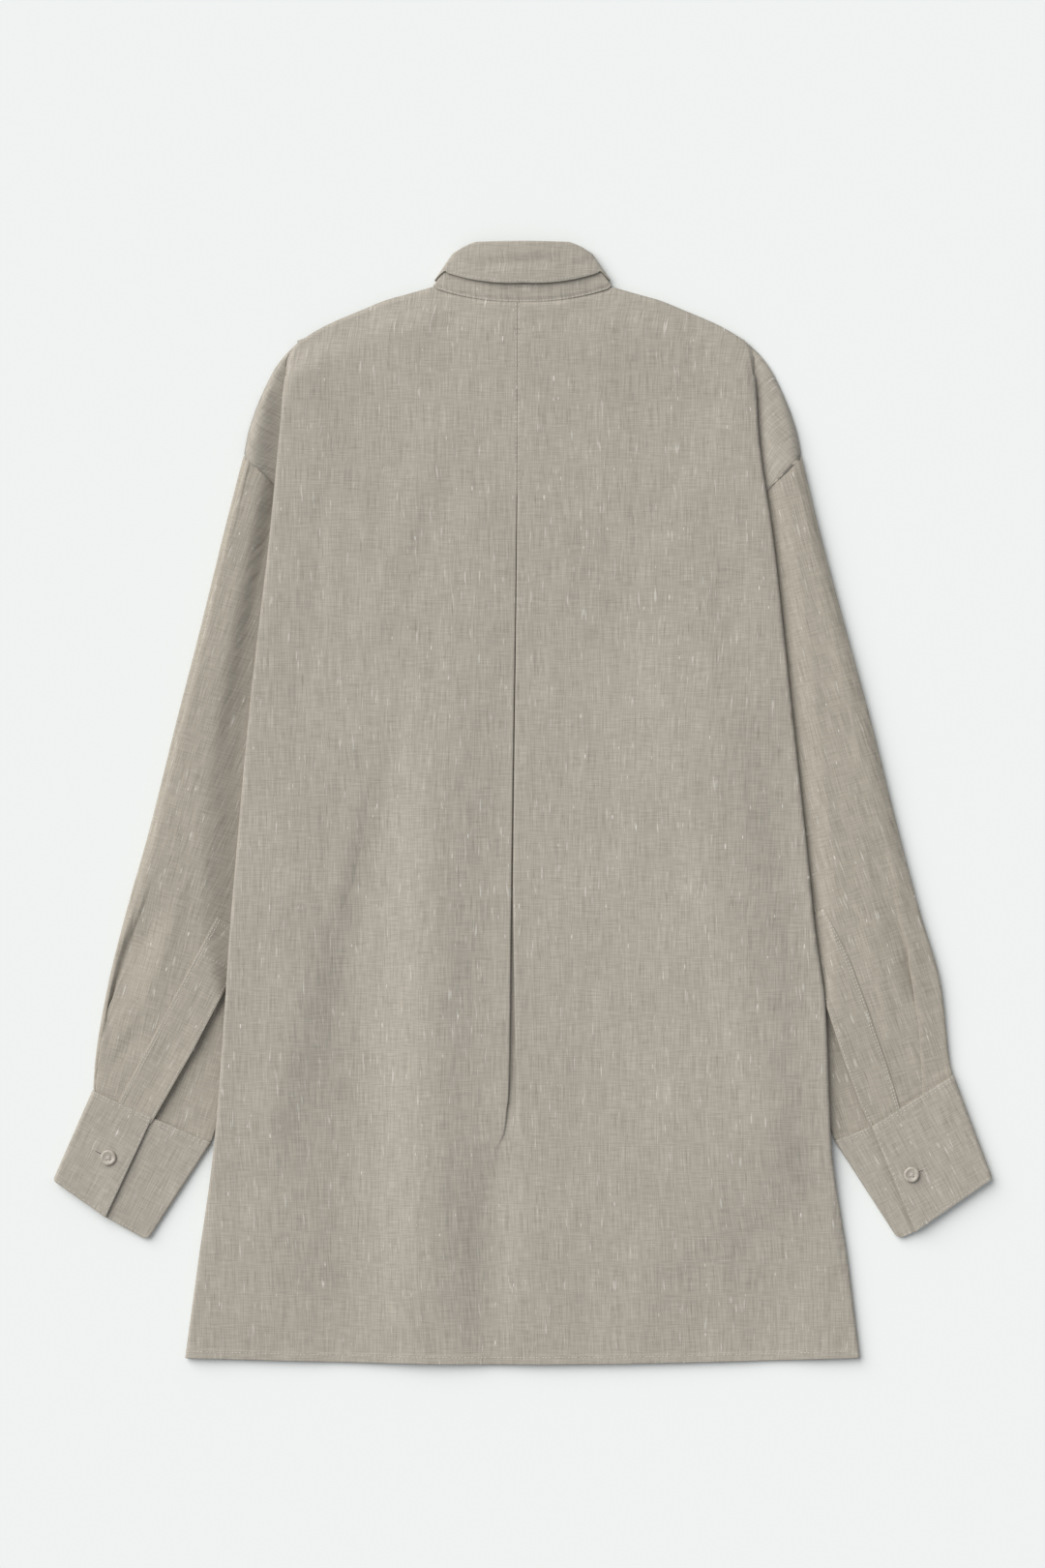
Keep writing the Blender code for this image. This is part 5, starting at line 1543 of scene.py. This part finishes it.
for piece, node, flat, area, under, line in (
        (stand, "collar_stand", STAND_FLAT, STAND_AREA, "front_panel_left", neck_line),
        (leaf, "collar_leaf", LEAF_FLAT, LEAF_AREA, "collar_stand_band", edge_line)):
    piece.data.materials.append(linen(node + "_linen"))
    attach(piece, "root")
    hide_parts(node)
    sew(node + "_stitching", [piece], [line])


# ---- Buttons ----
# Turned buttons with a rounded rim, a dished face and four holes, sewn on with a cross of
# thread. The two on the cuffs face up, and those down the front face the table.
Profile = namedtuple("Profile", "radius height")
BUTTON_PROFILE = [         # shares of the button's radius and thickness, from its middle out
    Profile(0.0, 0.74), Profile(0.46, 0.74), Profile(0.58, 0.79), Profile(0.69, 0.94),
    Profile(0.79, 1.0), Profile(0.90, 0.97), Profile(0.98, 0.78), Profile(1.0, 0.5),
    Profile(0.96, 0.18), Profile(0.84, 0.0), Profile(0.0, 0.0),
]
FRONT_BUTTONS = 7
BUTTON_SIDES = 40
HOLE_SIDES = 14
HOLE_SPREAD = ((1, 1), (-1, 1), (-1, -1), (1, -1))
HOLE_PLACE = 0.24          # shares of the button's radius
HOLE_RADIUS = 0.11
BUTTON_COLOUR = (0.47, 0.43, 0.375, 1.0)
BUTTON_DEEP = (0.36, 0.32, 0.27, 1.0)
STRAND_REACH = (-1.15, -0.9, -0.4, 0.4, 0.9, 1.15)  # along each strand, 1 is at a hole
STRAND_SIDES = 6
STRAND_RISE = 0.42         # of its middle over the button's face
STRAND_SINK = 0.05         # its ends dip into the holes
STRAND_HALF_WIDTH = 0.36
STRAND_HALF_HEIGHT = 0.26
STRAND_CROSSING = 0.1      # the second strand lies so much higher
DIAGONAL = 0.707

button_material = speckled("button_shell", BUTTON_DEEP, BUTTON_COLOUR, scale=240.0,
                           surface={"Roughness": 0.38, "Specular IOR Level": 0.45},
                           detail=3.0, between=(0.35, 0.62))


def turn_of(k, sides):
    """The cosine and the sine of one of the turns that share out a full circle."""
    angle = 2 * math.pi * k / sides
    return math.cos(angle), math.sin(angle)


def closed_tube(shape, rings):
    """Bands between all the rings, and a face over each end."""
    for one, two in zip(rings, rings[1:]):
        bridge(shape, one, two)
    shape.faces.new(rings[0])
    shape.faces.new(rings[-1])


def button(node, facing):
    """facing is 1 for a button that shows its face above, and -1 for one below."""
    low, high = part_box(node)
    centre = (low + high) / 2
    radius, thick = (high.x - low.x) / 2, high.z - low.z
    shape = bmesh.new()
    turned = []
    for row in BUTTON_PROFILE[1:-1]:
        ring = []
        for k in range(BUTTON_SIDES):
            cos, sin = turn_of(k, BUTTON_SIDES)
            z = (row.height - 0.5) * thick * facing
            ring.append(shape.verts.new((centre.x + row.radius * radius * cos,
                                         centre.y + row.radius * radius * sin, centre.z + z)))
        turned.append(ring)
    closed_tube(shape, turned)
    piece = made_of(shape, node + "_turned")
    drills = []
    for dx, dy in HOLE_SPREAD:
        bpy.ops.mesh.primitive_cylinder_add(
            vertices=HOLE_SIDES, radius=HOLE_RADIUS * radius, depth=thick * 3,
            location=(centre.x + dx * HOLE_PLACE * radius, centre.y + dy * HOLE_PLACE * radius,
                      centre.z))
        drills.append(bpy.context.object)
    bpy.ops.object.select_all(action="DESELECT")
    for drill in drills:
        drill.select_set(True)
    bpy.context.view_layer.objects.active = drills[0]
    bpy.ops.object.join()
    drill = bpy.context.object
    cut = piece.modifiers.new("holes", "BOOLEAN")
    cut.object = drill
    cut.operation = "DIFFERENCE"
    cut.solver = "EXACT"
    bpy.context.view_layer.objects.active = piece
    bpy.ops.object.select_all(action="DESELECT")
    piece.select_set(True)
    bpy.ops.object.modifier_apply(modifier="holes")
    bpy.data.objects.remove(drill, do_unlink=True)
    bpy.ops.object.shade_smooth_by_angle(angle=math.radians(50))
    piece.data.materials.append(button_material)
    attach(piece, "root")
    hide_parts(node)

    # Two strands of thread cross between the holes.
    strands = bmesh.new()
    face_z = centre.z + facing * (BUTTON_PROFILE[0].height - 0.5) * thick
    reach = HOLE_PLACE * radius
    for dx, dy in ((1, 1), (1, -1)):
        rings = []
        for share in STRAND_REACH:
            rise = (STRAND_RISE * (1.0 - share ** 4) - STRAND_SINK) * MM
            if dy > 0:
                rise += STRAND_CROSSING * MM
            ring = []
            for k in range(STRAND_SIDES):
                cos, sin = turn_of(k, STRAND_SIDES)
                side = STRAND_HALF_WIDTH * MM * cos * DIAGONAL
                ring.append(strands.verts.new((
                    centre.x + dx * reach * share - dy * side,
                    centre.y + dy * reach * share + dx * side,
                    face_z + facing * (rise + STRAND_HALF_HEIGHT * MM * sin))))
            rings.append(ring)
        closed_tube(strands, rings)
    thread = made_of(strands, node + "_thread")
    thread.data.materials.append(thread_material)
    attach(thread, "root")


for side in ("left", "right"):
    button("cuff_button_" + side, 1)
for number in range(1, FRONT_BUTTONS + 1):
    button(f"front_button_{number}", -1)
